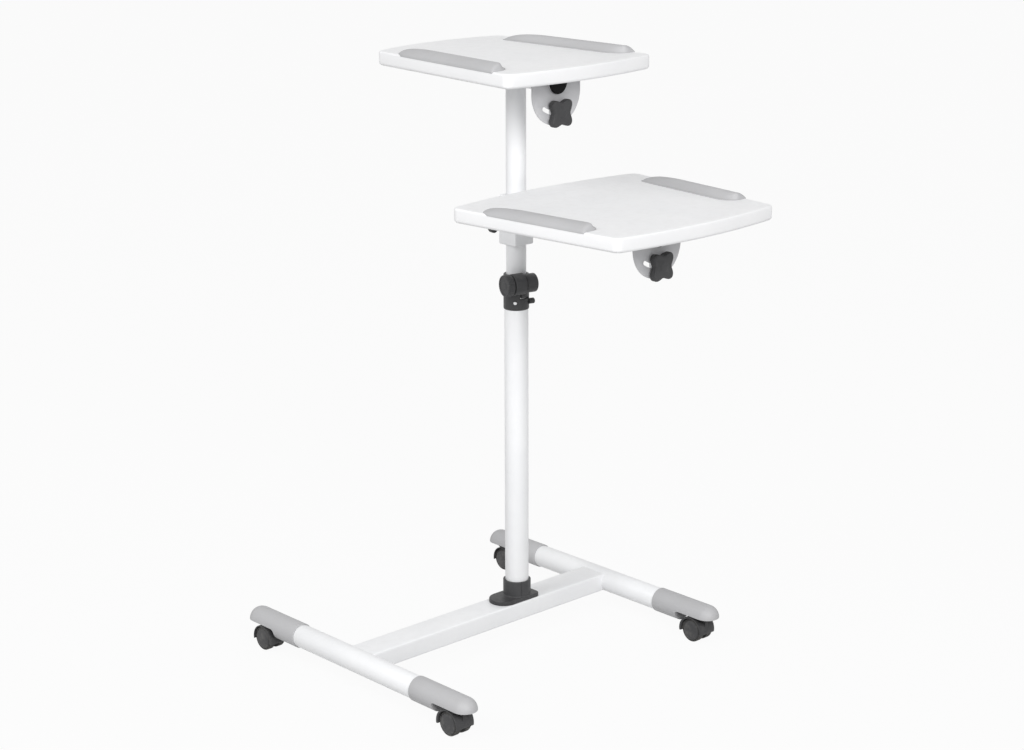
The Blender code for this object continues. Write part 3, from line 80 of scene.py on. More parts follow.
alongX = Matrix.Rotation(radians(90), 4, "Y")
alongY = Matrix.Rotation(radians(-90), 4, "X")
againstY = Matrix.Rotation(radians(90), 4, "X")
halfTurn = Matrix.Rotation(pi, 4, "Z")
sides, ends = ("left", "right"), ("front", "rear")
baseCorners = [(end, side) for side in sides for end in ends]

baseMiddle = boxMiddle("cross_beam")
trackHalf = boxMiddle("side_tube_right").x
baseZ = boxMiddle("side_tube_right").z
columnX = boxMiddle("outer_column").x
columnY = boxMiddle("outer_column").y

gap = 0.0003  # between pieces that fit together
overrun = 0.003  # how far a cutter runs past the face that it opens
overlap = 0.001  # how far pieces that are fused reach into each other


# Mesh tools

def placed(name, data):
    thing = bpy.data.objects.new(name, data)
    bpy.context.scene.collection.objects.link(thing)
    return thing


def newPiece(name, shape):
    bmesh.ops.recalc_face_normals(shape, faces=shape.faces[:])
    mesh = bpy.data.meshes.new(name)
    shape.to_mesh(mesh)
    shape.free()
    return placed(name, mesh)


def moved(piece, matrix):
    piece.data.transform(matrix)
    return piece


def shifted(piece, x=0, y=0, z=0):
    return moved(piece, Matrix.Translation((x, y, z)))


def skinned(name, rows, joined=False):  # quads between rows of points; joined ties the last row to the first
    shape = bmesh.new()
    made = [[shape.verts.new(point) for point in row] for row in rows]
    pairs = list(zip(made, made[1:]))
    if joined:
        pairs.append((made[-1], made[0]))
    for one, two in pairs:
        for i in range(len(one)):
            j = (i + 1) % len(one)
            shape.faces.new((one[i], one[j], two[j], two[i]))
    if not joined:
        shape.faces.new(made[0])
        shape.faces.new(made[-1])
    return newPiece(name, shape)


def roundAngles(steps):
    return [2 * pi * k / steps for k in range(steps)]


def rectangle(left, front, right, back):
    return [(left, front), (right, front), (right, back), (left, back)]


def turned(name, profile, facets=72, closed=False):  # profile of (radius, z) about Z
    shape = bmesh.new()
    rows = []
    for angle in roundAngles(facets):
        rows.append([shape.verts.new((r * cos(angle), r * sin(angle), z)) for r, z in profile])
    steps = len(profile) if closed else len(profile) - 1
    for k in range(facets):
        one, two = rows[k], rows[(k + 1) % facets]
        for i in range(steps):
            j = (i + 1) % len(profile)
            shape.faces.new((one[i], one[j], two[j], two[i]))
    bmesh.ops.remove_doubles(shape, verts=shape.verts[:], dist=1e-6)
    return newPiece(name, shape)


def pipe(name, radius, wall, low, high, edge=0.0006):  # open tube with softened ends
    corners = rectangle(radius - wall, low, radius, high)
    return turned(name, softCorners(corners, (edge,) * 4, 2), closed=True)


def rod(name, radius, low, high, facets=48):
    return turned(name, rectangle(0, low, radius, high), facets)


def softRod(name, radius, low, high, edge, facets=72, steps=4):
    profile = softCorners(rectangle(0, low, radius, high), (0, edge, edge, 0), steps, closed=False)
    return turned(name, profile, facets)


def stacked(name, levels, outline):  # one outline for each (inset, z)
    return skinned(name, [[(x, y, z) for x, y in outline(inset)] for inset, z in levels])


def extruded(name, outline, low, high):
    return stacked(name, ((0, low), (0, high)), lambda inset: outline)


def block(name, low, high):
    return extruded(name, rectangle(*low[:2], *high[:2]), low[2], high[2])


def beadRing(there, radius, out, along):  # one ring of a weld bead
    return [there + radius * (out * cos(a) + along * sin(a)) for a in roundAngles(8)]


def arc(centre, radius, start, end, steps):
    angles = [start + (end - start) * i / steps for i in range(steps + 1)]
    return [(centre[0] + radius * cos(a), centre[1] + radius * sin(a)) for a in angles]


def softCorners(points, radii, steps=6, closed=True):  # a zero radius leaves the corner sharp
    line = []
    for i, radius in enumerate(radii):
        here = Vector(points[i])
        atEnd = not closed and i in (0, len(points) - 1)
        if radius == 0 or atEnd:
            line.append(tuple(here))
            continue
        back = (Vector(points[i - 1]) - here).normalized()
        ahead = (Vector(points[(i + 1) % len(points)]) - here).normalized()
        half = back.angle(ahead) / 2
        centre = here + (back + ahead).normalized() * radius / sin(half)
        start = here + back * radius / tan(half) - centre
        sweep = start.angle_signed(here + ahead * radius / tan(half) - centre)
        for k in range(steps + 1):
            spoke = start.copy()
            spoke.rotate(Matrix.Rotation(-sweep * k / steps, 2))
            line.append(tuple(centre + spoke))
    return line


def applied(piece):
    bpy.context.view_layer.update()
    mesh = bpy.data.meshes.new_from_object(piece.evaluated_get(bpy.context.evaluated_depsgraph_get()))
    piece.modifiers.clear()
    piece.data = mesh
    return piece


def combined(piece, tools, operation):
    for tool in tools:
        step = piece.modifiers.new("combine", "BOOLEAN")
        step.operation = operation
        step.solver = "EXACT"
        step.object = tool
        applied(piece)
        bpy.data.objects.remove(tool, do_unlink=True)
    return piece


def cut(piece, *tools):
    return combined(piece, tools, "DIFFERENCE")


def fused(piece, *tools):
    return combined(piece, tools, "UNION")


def softened(piece, width, segments=2, angle=32):
    step = piece.modifiers.new("soften", "BEVEL")
    step.width = width
    step.segments = segments
    step.limit_method = "ANGLE"
    step.angle_limit = radians(angle)
    return applied(piece)


def covered(piece, finish):
    piece.data.materials.clear()
    piece.data.materials.append(finishes[finish]["material"])


def dressed(piece, finish, node, replaces=True, angle=38):  # finish and body in one go
    piece.data.shade_smooth()
    piece.data.set_sharp_from_angle(angle=radians(angle))
    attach(piece, bodyOf(node))
    if replaces:
        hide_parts(node)
    covered(piece, finish)


def kept(node, finish):  # a CAD node that stays, with a better finish
    covered(frame["nodes"][node], finish)


# Shader groups shared by the finishes

def newGroup(name, inputs, outputs):
    group = bpy.data.node_groups.new(name, "ShaderNodeTree")
    for label, value in inputs.items():
        socket = group.interface.new_socket(name=label, in_out="INPUT", socket_type="NodeSocketFloat")
        socket.default_value = value
    for label in outputs:
        group.interface.new_socket(name=label, in_out="OUTPUT", socket_type="NodeSocketFloat")
    place = group.nodes.new("ShaderNodeTexCoord").outputs["Object"]
    return group, group.nodes.new("NodeGroupInput").outputs, group.nodes.new("NodeGroupOutput").inputs, place


def noiseNode(tree, place, scale, detail, roughness=0.5, distortion=0.0, stretch=None):
    if stretch:
        mapping = tree.nodes.new("ShaderNodeMapping")
        mapping.inputs["Scale"].default_value = stretch
        tree.links.new(place, mapping.inputs["Vector"])
        place = mapping.outputs["Vector"]
    noise = tree.nodes.new("ShaderNodeTexNoise")
    noise.inputs["Detail"].default_value = detail
    noise.inputs["Roughness"].default_value = roughness
    noise.inputs["Distortion"].default_value = distortion
    tree.links.new(place, noise.inputs["Vector"])
    tree.links.new(scale, noise.inputs["Scale"])
    return noise.outputs["Fac"]


def mathNode(tree, operation, *values):
    node = tree.nodes.new("ShaderNodeMath")
    node.operation = operation
    for socket, value in zip(node.inputs, values):
        if isinstance(value, (int, float)):
            socket.default_value = value
        else:
            tree.links.new(value, socket)
    return node.outputs[0]


def maskNode(tree, value, low, high):  # low..high to 0..1, clamped and eased
    node = tree.nodes.new("ShaderNodeMapRange")
    node.interpolation_type = "SMOOTHSTEP"
    tree.links.new(value, node.inputs["Value"])
    node.inputs["From Min"].default_value = low
    node.inputs["From Max"].default_value = high
    return node.outputs["Result"]


def zOf(tree, vector):
    split = tree.nodes.new("ShaderNodeSeparateXYZ")
    tree.links.new(vector, split.inputs["Vector"])
    return split.outputs["Z"]


def surfaceGrainGroup():  # fine texture for bump, and a slow drift of tone
    inputs = {"Grain": 900.0, "Ripple": 60.0, "Drift": 9.0}
    group, given, out, place = newGroup("surfaceGrain", inputs, ("Height", "Tone"))
    fine = noiseNode(group, place, given["Grain"], detail=2.0, roughness=0.6)
    ripple = noiseNode(group, place, given["Ripple"], detail=1.0)
    drift = noiseNode(group, place, given["Drift"], detail=3.0)
    rippleShare = 0.6
    group.links.new(mathNode(group, "MULTIPLY_ADD", ripple, rippleShare, fine), out["Height"])
    group.links.new(maskNode(group, drift, low=0.35, high=0.68), out["Tone"])
    return group


def handMarksGroup():  # smudges and fine rubbed streaks
    group, given, out, place = newGroup("handMarks", {"Size": 16.0, "Streaks": 240.0}, ("Mask",))
    smudge = noiseNode(group, place, given["Size"], detail=4.0, roughness=0.55, distortion=0.6)
    streak = noiseNode(group, place, given["Streaks"], detail=2.0, roughness=0.7, stretch=(1.0, 1.0, 0.06))
    soft = maskNode(group, smudge, low=0.5, high=0.72)
    thin = maskNode(group, streak, low=0.6, high=0.75)
    streakShare = 0.35
    group.links.new(mathNode(group, "MULTIPLY_ADD", thin, streakShare, soft), out["Mask"])
    return group


def floorDustGroup():  # dust that settles on upward faces, and more of it near the floor
    group, given, out, place = newGroup("floorDust", {"Reach": 0.12, "Size": 70.0}, ("Mask",))
    height = mathNode(group, "DIVIDE", zOf(group, place), given["Reach"])
    mostHeight = 0.85
    near = mathNode(group, "SUBTRACT", 1.0, mathNode(group, "MINIMUM", height, mostHeight))
    facing = zOf(group, group.nodes.new("ShaderNodeNewGeometry").outputs["Normal"])
    upward = maskNode(group, facing, low=0.3, high=1.0)
    speck = noiseNode(group, place, given["Size"], detail=5.0, roughness=0.65)
    fleck = maskNode(group, speck, low=0.42, high=0.7)
    lying = mathNode(group, "MULTIPLY", mathNode(group, "MAXIMUM", near, upward), fleck)
    group.links.new(mathNode(group, "MINIMUM", lying, 1.0), out["Mask"])
    return group


def brushLinesGroup():  # fine lines of drawn or turned steel
    group, given, out, place = newGroup("brushLines", {"Lines": 1400.0}, ("Height", "Tone"))
    lines = noiseNode(group, place, given["Lines"], detail=3.0, roughness=0.6, stretch=(0.05, 1.0, 1.0))
    group.links.new(lines, out["Height"])
    group.links.new(maskNode(group, lines, low=0.35, high=0.65), out["Tone"])
    return group


groups = {
    "grain": surfaceGrainGroup(),
    "marks": handMarksGroup(),
    "dust": floorDustGroup(),
    "brush": brushLinesGroup(),
}


# Finishes: a surface drifts between the tones colour and shade; dust and marks are shares

finishes = {
    "whitePaint": {
        "slot": "white_metal", "roughness": 0.36,
        "colour": (0.885, 0.89, 0.9), "shade": (0.86, 0.866, 0.88),
        "grain": 700, "ripple": 110, "bump": 0.0001, "marks": 0.07, "dust": 0.05, "coat": 0.15,
    },
    "whiteBoard": {
        "slot": "white_board", "roughness": 0.44,
        "colour": (0.885, 0.887, 0.895), "shade": (0.865, 0.868, 0.878),
        "grain": 1100, "ripple": 260, "bump": 0.00012, "marks": 0.09, "dust": 0.06,
    },
    "greyMoulding": {
        "slot": "grey_plastic", "roughness": 0.52,
        "colour": (0.475, 0.475, 0.485), "shade": (0.45, 0.45, 0.46),
        "grain": 1500, "ripple": 420, "bump": 0.00016, "marks": 0.06, "dust": 0.1,
    },
    "greyPaint": {
        "slot": "grey_metal", "roughness": 0.42,
        "colour": (0.6, 0.6, 0.615), "shade": (0.57, 0.57, 0.585),
        "grain": 700, "ripple": 120, "bump": 0.0001, "marks": 0.08, "dust": 0.08, "coat": 0.1,
    },
    "blackMoulding": {
        "slot": "black_plastic", "roughness": 0.42,
        "colour": (0.058, 0.058, 0.06), "shade": (0.044, 0.044, 0.046),
        "grain": 1400, "ripple": 380, "bump": 0.00018, "marks": 0.1, "dust": 0.06, "specular": 0.22,
    },
    "wheelHub": {
        "slot": "black_plastic", "roughness": 0.48,
        "colour": (0.056, 0.056, 0.058), "shade": (0.046, 0.046, 0.048),
        "grain": 1200, "ripple": 300, "bump": 0.00015, "marks": 0.08, "dust": 0.16, "specular": 0.3,
    },
    "tyreRubber": {
        "slot": "black_plastic", "roughness": 0.72,
        "colour": (0.03, 0.03, 0.031), "shade": (0.04, 0.039, 0.038),
        "grain": 1800, "ripple": 500, "bump": 0.00025, "marks": 0.1, "dust": 0.35, "specular": 0.3,
    },
    # black rubber plug, partly painted shade: its colour is near black, darker than the other black
    # mouldings, to paint in the tray's shadow over the pivot caps
    "plugRubberPaintedShade": {
        "slot": "black_plastic", "roughness": 0.62,
        "colour": (0.007, 0.007, 0.008), "shade": (0.011, 0.011, 0.011),
        "grain": 1500, "ripple": 420, "bump": 0.00016, "marks": 0.08, "dust": 0.02, "specular": 0.1,
    },
    "turnedSteel": {
        "slot": "steel", "roughness": 0.32,
        "colour": (0.76, 0.76, 0.77), "shade": (0.64, 0.64, 0.65),
        "grain": 1600, "bump": 0.00006, "marks": 0.12, "dust": 0.05, "metallic": 1.0,
    },
}
plain = {  # where a finish doesn't say otherwise
    "coat": 0.0, "coatRoughness": 0.25, "specular": 0.5, "metallic": 0.0,
    "bumpStrength": 0.8, "dustColour": (0.46, 0.44, 0.41), "dustRoughness": 0.5,
}
shaderValues = {
    "Metallic": "metallic",
    "Coat Weight": "coat",
    "Coat Roughness": "coatRoughness",
    "Specular IOR Level": "specular",
}


def mixColour(tree, amount, one, two):
    node = tree.nodes.new("ShaderNodeMix")
    node.data_type = "RGBA"
    tree.links.new(amount, node.inputs["Factor"])
    for socket, colour in ((node.inputs["A"], one), (node.inputs["B"], two)):
        if isinstance(colour, tuple):
            socket.default_value = (*colour, 1.0)
        else:
            tree.links.new(colour, socket)
    return node.outputs["Result"]


def groupNode(tree, key, **values):
    node = tree.nodes.new("ShaderNodeGroup")
    node.node_tree = groups[key]
    for label, value in values.items():
        node.inputs[label].default_value = value
    return node


def makeFinish(name, look):
    material = bpy.data.materials.new(name)
    material.use_nodes = True
    tree = material.node_tree
    shader = tree.nodes["Principled BSDF"].inputs
    for label, key in shaderValues.items():
        shader[label].default_value = look[key]
    if look["metallic"]:
        texture = groupNode(tree, "brush", Lines=look["grain"])
    else:
        texture = groupNode(tree, "grain", Grain=look["grain"], Ripple=look["ripple"])
    marks = groupNode(tree, "marks").outputs["Mask"]
    dust = groupNode(tree, "dust").outputs["Mask"]
    base = mixColour(tree, texture.outputs["Tone"], look["colour"], look["shade"])
    dusty = mathNode(tree, "MULTIPLY", dust, look["dust"])
    tree.links.new(mixColour(tree, dusty, base, look["dustColour"]), shader["Base Color"])
    rubbed = mathNode(tree, "MULTIPLY_ADD", marks, look["marks"], look["roughness"])
    rough = mathNode(tree, "MULTIPLY_ADD", dusty, look["dustRoughness"], rubbed)
    tree.links.new(rough, shader["Roughness"])
    bump = tree.nodes.new("ShaderNodeBump")
    bump.inputs["Distance"].default_value = look["bump"]
    bump.inputs["Strength"].default_value = look["bumpStrength"]
    tree.links.new(texture.outputs["Height"], bump.inputs["Height"])
    tree.links.new(bump.outputs["Normal"], shader["Normal"])
    return material


for finishName, finishLook in finishes.items():
    finishLook["material"] = makeFinish(finishName, {**plain, **finishLook})
print("finishes made:", len(finishes))


# Base: side tubes, beam with its welds, end caps

base = {
    "tubeRadius": 0.024,
    "tubeWall": 0.002,
    "capSkin": 0.002,
    "capSleeve": 0.067,  # full round part that holds the tube
    "capSocket": 0.060,
    "capWall": 0.0035,
    "capCorner": 0.008,  # round corner of the opening above the caster
    "capEdge": 0.0012,
    "capSoft": 0.0007,
    "beamRound": 0.004,
    "beamWall": 0.0025,
    "weldBead": 0.0017,
    "weldInset": 0.0004,
}


def levelTube(name, node, radius, wall):  # along Y through the middle of its node
    low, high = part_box(node)
    middle = boxMiddle(node)
    tube = moved(pipe(name, radius, wall, 0, high.y - low.y), alongY)
    dressed(shifted(tube, middle.x, low.y, middle.z), "whitePaint", node)


def copeX(z, radius):  # how far the beam's end stays from the side tube's axis at height z
    return sqrt(radius ** 2 - z ** 2)


def beamSection(inset):
    low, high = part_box("cross_beam")
    halfY = (high.y - low.y) / 2 - inset
    halfZ = (high.z - low.z) / 2 - inset
    return softCorners(rectangle(-halfY, -halfZ, halfY, halfZ), (base["beamRound"] - inset,) * 4, 6)


def buildBeam():
    seat = base["tubeRadius"] + gap
    rows = []
    for inset, side in ((0, -1), (0, 1), (base["beamWall"], 1), (base["beamWall"], -1)):
        rows.append([(side * (trackHalf - copeX(z, seat)), y, z) for y, z in beamSection(inset)])
    beam = shifted(skinned("beam", rows, joined=True), y=baseMiddle.y, z=baseZ)
    dressed(beam, "whitePaint", "cross_beam")
    for side in (-1, 1):
        rows = []
        for y, z in beamSection(base["weldInset"]):
            there = Vector((side * (trackHalf - copeX(z, base["tubeRadius"])), y, z))
            out = Vector((0, y, z)).normalized()
            rows.append(beadRing(there, base["weldBead"], out, Vector((-side, 0, 0))))
        weld = skinned(f"weld_{'left' if side < 0 else 'right'}", rows, joined=True)
        dressed(shifted(weld, y=baseMiddle.y, z=baseZ), "whitePaint", "cross_beam", replaces=False)


def onEdge(piece):  # turns an outline drawn in XY so that its X runs along Y, and its Y up
    return moved(piece, Matrix.Rotation(radians(90), 4, "Z") @ againstY)


def endCap(name):  # along +Y from its ring edge
    low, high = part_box("end_cap_rear_right")
    length = high.y - low.y
    radius = base["tubeRadius"] + base["capSkin"]
    socket = base["tubeRadius"] + gap
    centre = length - radius
    edge = base["capEdge"]
    ringEdge = arc((radius - edge, edge), edge, -pi / 2, 0, 4)
    profile = [(0, base["capSocket"]), (socket, base["capSocket"]), (socket, 0)] + ringEdge
    profile += [(radius, base["capSleeve"] * 0.5)]
    profile += arc((0, centre), radius, 0, pi / 2, 14)[:-1] + [(0, length)]
    cap = moved(turned(name, profile, 96), alongY)
    below, far = -radius * 1.2, length * 1.1  # past the cap
    opening = softCorners(rectangle(base["capSleeve"], below, far, 0), (0, 0, 0, base["capCorner"]), 8)
    window = extruded("window", opening, below, -below)
    core = radius - base["capWall"]
    start = base["capSleeve"] + base["capCorner"]
    hollow = [(0, start), (core, start)] + arc((0, centre), core, 0, pi / 2, 8)[:-1] + [(0, centre + core)]
    cut(cap, onEdge(window), moved(turned("hollow", hollow, 64), alongY))
    return softened(cap, base["capSoft"], 3)


def buildEndCaps():
    for end, side in baseCorners:
        node = f"end_cap_{end}_{side}"
        low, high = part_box(node)
        cap = endCap(f"cap_{end}_{side}")
        if end == "front":
            moved(cap, halfTurn)
        ringY = high.y if end == "front" else low.y
        dressed(shifted(cap, boxMiddle(node).x, ringY, baseZ), "greyMoulding", node)


for sideWord in sides:
    levelTube(f"tube_{sideWord}", f"side_tube_{sideWord}", base["tubeRadius"], base["tubeWall"])
buildBeam()
buildEndCaps()
print("base built")


# Casters

caster = {
    "wheelRadius": 0.025,
    "wheelWidth": 0.0185,
    "tyreDepth": 0.0032,
    "tyreRound": 0.0022,
    "dome": 0.0035,  # how far the outer face bulges
    "groove": 0.0004,  # between tyre and hub
    "hubBoss": 0.006,
    "hubLift": 0.0006,
    "hubRecess": 0.0012,
    "hubRim": 0.003,
    "hubStep": 0.0005,
    "web": 0.009,
    "webRadius": 0.018,
    "hoodGap": 0.0015,
    "hoodWall": 0.0032,
    "hoodLean": 0.0018,
    "hoodHalf": 0.0232,
    "hoodDrop": radians(12),
    "hoodSoft": 0.0009,
    "forkSoft": 0.0004,
    "bossRadius": 0.009,
    "bossRound": 0.001,
    "stemRadius": 0.005,
    "stemLength": 0.017,
    "runGap": 0.0004,
}


def wheelPieces(label):  # axis along Z, inner face at 0, domed face outward
    radius, width = caster["wheelRadius"], caster["wheelWidth"]
    groove, lift, recess = caster["groove"], caster["hubLift"], caster["hubRecess"]
    rim = width - caster["dome"]
    hubRadius = radius - caster["tyreDepth"]
    tyre = rectangle(hubRadius, groove, radius, rim)
    tyre = softCorners(tyre, (0, caster["tyreRound"], caster["tyreRound"], 0), 5)
    hub = [(0, lift), (caster["hubBoss"], lift), (caster["hubBoss"] + caster["hubStep"], recess)]
    hub += [(hubRadius - caster["hubRim"], recess), (hubRadius - caster["hubRim"] + caster["hubStep"], 0)]
    hub += [(hubRadius - groove, 0), (hubRadius - groove, rim - lift), (hubRadius - recess, rim + groove)]
    face, bulge = hubRadius - recess - groove, caster["dome"] - groove
    for i in range(1, 10):
        angle = pi / 2 * i / 10
        hub.append((face * cos(angle), rim + groove + bulge * sin(angle)))
    hub.append((0, width))
    return turned(f"tyre_{label}", tyre, 72, closed=True), turned(f"hub_{label}", hub, 72)


def fork(name, axleZ, height):  # swivel axis on Z, axle at y = trail, floor at z = 0
    trail = abs(jointPlace("wheel_spin_rear_right_outer").y - jointPlace("swivel_turn_rear_right").y)
    inner = caster["wheelRadius"] + caster["hoodGap"]
    outer = inner + caster["hoodWall"]
    drop = caster["hoodDrop"]
    hood = arc((caster["hoodLean"], 0), outer, -drop, pi + drop, 36)
    hood += arc((0, 0), inner, pi + drop, -drop, 36)
    hood = softened(extruded(name, hood, -caster["hoodHalf"], caster["hoodHalf"]), caster["hoodSoft"], 3)
    half, bossRadius = caster["web"] / 2, caster["bossRadius"]
    web = arc((0, 0), inner + overlap, 0, pi, 24) + arc((0, 0), caster["webRadius"], pi, 2 * pi, 24)
    fused(hood, extruded("web", web, -half, half))
    shifted(onEdge(hood), y=trail, z=axleZ)
    neck = block("neck", (-half, -bossRadius / 2, axleZ), (half, trail, height - bossRadius))
    boss = softRod("boss", bossRadius, axleZ + trail, height, caster["bossRound"], 48, 3)
    stem = rod("stem", caster["stemRadius"], height - overlap, height + caster["stemLength"], 32)
    return softened(fused(hood, neck, boss, stem), caster["forkSoft"], 2)


def buildCasters():
    for end, side in baseCorners:
        label = f"{end}_{side}"
        stem = jointPlace(f"swivel_turn_{label}")
        axle = jointPlace(f"wheel_spin_{label}_outer")
        body = fork(f"fork_{label}", axle.z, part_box(f"caster_fork_{label}")[1].z - caster["stemLength"])
        if end == "rear":
            moved(body, halfTurn)
        dressed(shifted(body, stem.x, stem.y), "blackMoulding", f"caster_fork_{label}")
        kept(f"caster_axle_{label}", "turnedSteel")
        for hand in ("outer", "inner"):
            out = copysign(1, stem.x) * (1 if hand == "outer" else -1)
            place = Matrix.Translation(axle) @ (alongX if out > 0 else halfTurn @ alongX)
            place = place @ Matrix.Translation((0, 0, caster["web"] / 2 + caster["runGap"]))
            tyre, hub = wheelPieces(f"{label}_{hand}")
            node = f"caster_wheel_{label}_{hand}"
            dressed(moved(hub, place), "wheelHub", node)
            dressed(moved(tyre, place), "tyreRubber", node, replaces=False)


buildCasters()
print("casters built")


# Column foot and outer column

foot = {
    "thickness": 0.008,
    "collarRadius": 0.0295,
    "collarRound": 0.0012,
    "cornerRound": 0.012,
    "edgeRound": 0.0018,
    "fillet": 0.0025,
    "bore": 0.0253,
    "grooveWidth": 0.003,
    "grooveDepth": 0.0016,
    "grooveRise": 0.003,  # from the plate's top
    "grooveTurn": radians(-25),
    "endFlat": 0.0005,  # straight bit at the middle of the round end
    "soft": 0.0004,
}


def footOutline(low, high, inset):
    left, right = low.x + inset, high.x - inset
    front, back = low.y + inset, high.y - inset
    end = (back - front) / 2 - foot["endFlat"]
    corner = foot["cornerRound"] - inset
    return softCorners(rectangle(left, front, right, back), (end, corner, corner, end), 16)


def edgeLevels(low, high, lowRound, highRound, steps=4):  # (inset, z) of a side wall with round edges
    angles = [pi / 2 * i / steps for i in range(steps + 1)]
    levels = [(lowRound * 1.5, low)]
    if lowRound:
        levels += [(lowRound * (1 - sin(a)), low + lowRound * (1 - cos(a))) for a in angles]
    levels += [(highRound * (1 - cos(a)), high - highRound * (1 - sin(a))) for a in angles]
    return levels + [(highRound * 1.5, high)]


def buildFoot():
    low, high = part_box("column_foot")
    plateTop = low.z + foot["thickness"]
    levels = edgeLevels(low.z, plateTop, 0, foot["edgeRound"])
    plate = stacked("foot", levels, lambda inset: footOutline(low, high, inset))
    radius, fillet, soft = foot["collarRadius"], foot["fillet"], foot["collarRound"]
    flare = arc((radius + fillet, plateTop + fillet), fillet, -pi / 2, -pi, 5)
    rim = arc((radius - soft, high.z - soft), soft, 0, pi / 2, 4)
    under = plateTop - 2 * overlap
    profile = [(0, under), (radius + fillet, under)] + flare + rim + [(0, high.z)]
    collar = shifted(turned("collar", profile, 96), columnX, columnY)
    fused(plate, collar)
    bore = rod("bore", foot["bore"], low.z - overrun, high.z + overrun, 96)
    cut(plate, shifted(bore, columnX, columnY))
    half = foot["grooveWidth"] / 2
    grooveLow = (-half, -radius - overrun, plateTop + foot["grooveRise"])
    groove = block("groove", grooveLow, (half, foot["grooveDepth"] - radius, high.z + overrun))
    place = Matrix.Translation((columnX, columnY, 0)) @ Matrix.Rotation(foot["grooveTurn"], 4, "Z")
    cut(plate, moved(groove, place))
    dressed(softened(plate, foot["soft"], 2), "blackMoulding", "column_foot")


tubes = {"outerRadius": 0.025, "outerWall": 0.002, "innerRadius": 0.0208, "innerWall": 0.0025}


def buildOuterColumn():
    low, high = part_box("outer_column")
    tube = pipe("column_outer", tubes["outerRadius"], tubes["outerWall"], low.z, high.z)
    dressed(shifted(tube, columnX, columnY), "whitePaint", "outer_column")
    kept("guide_bush", "blackMoulding")


buildFoot()
buildOuterColumn()


# Mast clamp, in its own frame: ears and bolt along X, in front of the column

clamp = {
    "turn": radians(-14),
    "radius": 0.0266,
    "edge": 0.0018,
    "earForward": 0.036,
    "earDrop": 0.014,  # from the clamp's top to its bolt
    "leftEarRadius": 0.0225,
    "rightEarRadius": 0.0195,
    "leftEarStart": -0.031,
    "slitStart": -0.0055,
    "slit": 0.003,
    "rightEarEnd": 0.0225,
    "earEdge": 0.002,
    "slotRise": 0.0252,  # from the clamp's bottom
    "slotHeight": 0.003,
    "bolt": 0.004,
    "knobWidth": 0.0162,
    "knobGap": 0.002,
    "knobDish": 0.0015,
    "knobRim": 0.0042,
    "knobRimSlope": 0.0012,
    "knobButton": 0.0006,
    "knobHub": 0.0017,
    "knobSoft": 0.0004,
    "knobRibs": 28,
    "ribShare": 0.012,  # how deep the flutes are, as a share of the radius
    "nutRadius": 0.008,
    "nutDepth": 0.006,
    "pinRadius": 0.006,
    "pinForward": 0.018,
    "pinRise": 0.0166,
    "pinStart": 0.0185,
    "pinEnd": 0.0315,
    "pinRound": 0.0016,
    "bridgeInset": 0.003,
    "soft": 0.0005,
}
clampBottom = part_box("clamp_collar")[0].z
clampTop = jointPlace("clamp_knob_turn").z + clamp["earDrop"]
clampPlace = Matrix.Translation((columnX, columnY, 0)) @ Matrix.Rotation(clamp["turn"], 4, "Z")


def onClampBolt(piece):
    return shifted(moved(piece, alongX), y=-clamp["earForward"], z=clampTop - clamp["earDrop"])


def buildClamp():
    body = softRod("clamp", clamp["radius"], clampBottom, clampTop, clamp["edge"], 96)
    earZ = clampTop - clamp["earDrop"]
    middle = clamp["slitStart"] + clamp["slit"] / 2
    inset = clamp["bridgeInset"]
    bridgeLow = (clamp["leftEarStart"] + inset, -clamp["earForward"], earZ - clamp["rightEarRadius"] + inset)
    bridgeHigh = (clamp["rightEarEnd"] - inset, -clamp["radius"] / 4, clampTop - inset)
    bridge = block("bridge", bridgeLow, bridgeHigh)
    edge = clamp["earEdge"]
    leftEar = softRod("leftEar", clamp["leftEarRadius"], clamp["leftEarStart"], middle + gap, edge)
    rightEar = softRod("rightEar", clamp["rightEarRadius"], middle - gap, clamp["rightEarEnd"], edge)
    fused(body, bridge, onClampBolt(leftEar), onClampBolt(rightEar))
    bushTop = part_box("guide_bush")[1].z + gap
    slotLow = clampBottom + clamp["slotRise"] - clamp["slotHeight"] / 2
    front = -clamp["earForward"] - clamp["leftEarRadius"] - overrun
    slitEnd = clamp["slitStart"] + clamp["slit"]
    high = clampTop + 2 * clamp["radius"]
    slotEnd = (clamp["radius"] + overrun, -clamp["pinForward"] / 2, slotLow + clamp["slotHeight"])
    cut(
        body,
        rod("lowerBore", tubes["outerRadius"] + gap, clampBottom - overrun, bushTop, 96),
        rod("upperBore", tubes["innerRadius"] + gap, bushTop - 1.5 * overlap, high, 96),
        block("slit", (clamp["slitStart"], front, slotLow - overlap), (slitEnd, 0, high)),
        block("slot", (middle, front + overlap, slotLow), slotEnd),
    )
    pocketStart = clamp["rightEarEnd"] - clamp["nutDepth"] - gap
    pocket = rod("pocket", clamp["nutRadius"] + 2 * gap, pocketStart, clamp["rightEarEnd"] + overrun, 6)
    cut(body, onClampBolt(pocket))
    dressed(moved(softened(body, clamp["soft"], 2), clampPlace), "blackMoulding", "clamp_collar")
    kept("clamp_nut", "turnedSteel")
    kept("clamp_screw", "turnedSteel")
    pin = softRod("pin", clamp["pinRadius"], clamp["pinStart"], clamp["pinEnd"], clamp["pinRound"], 48)
    shifted(moved(pin, alongX), y=-clamp["pinForward"], z=clampBottom + clamp["pinRise"])
    dressed(moved(pin, clampPlace), "blackMoulding", "stop_pin")


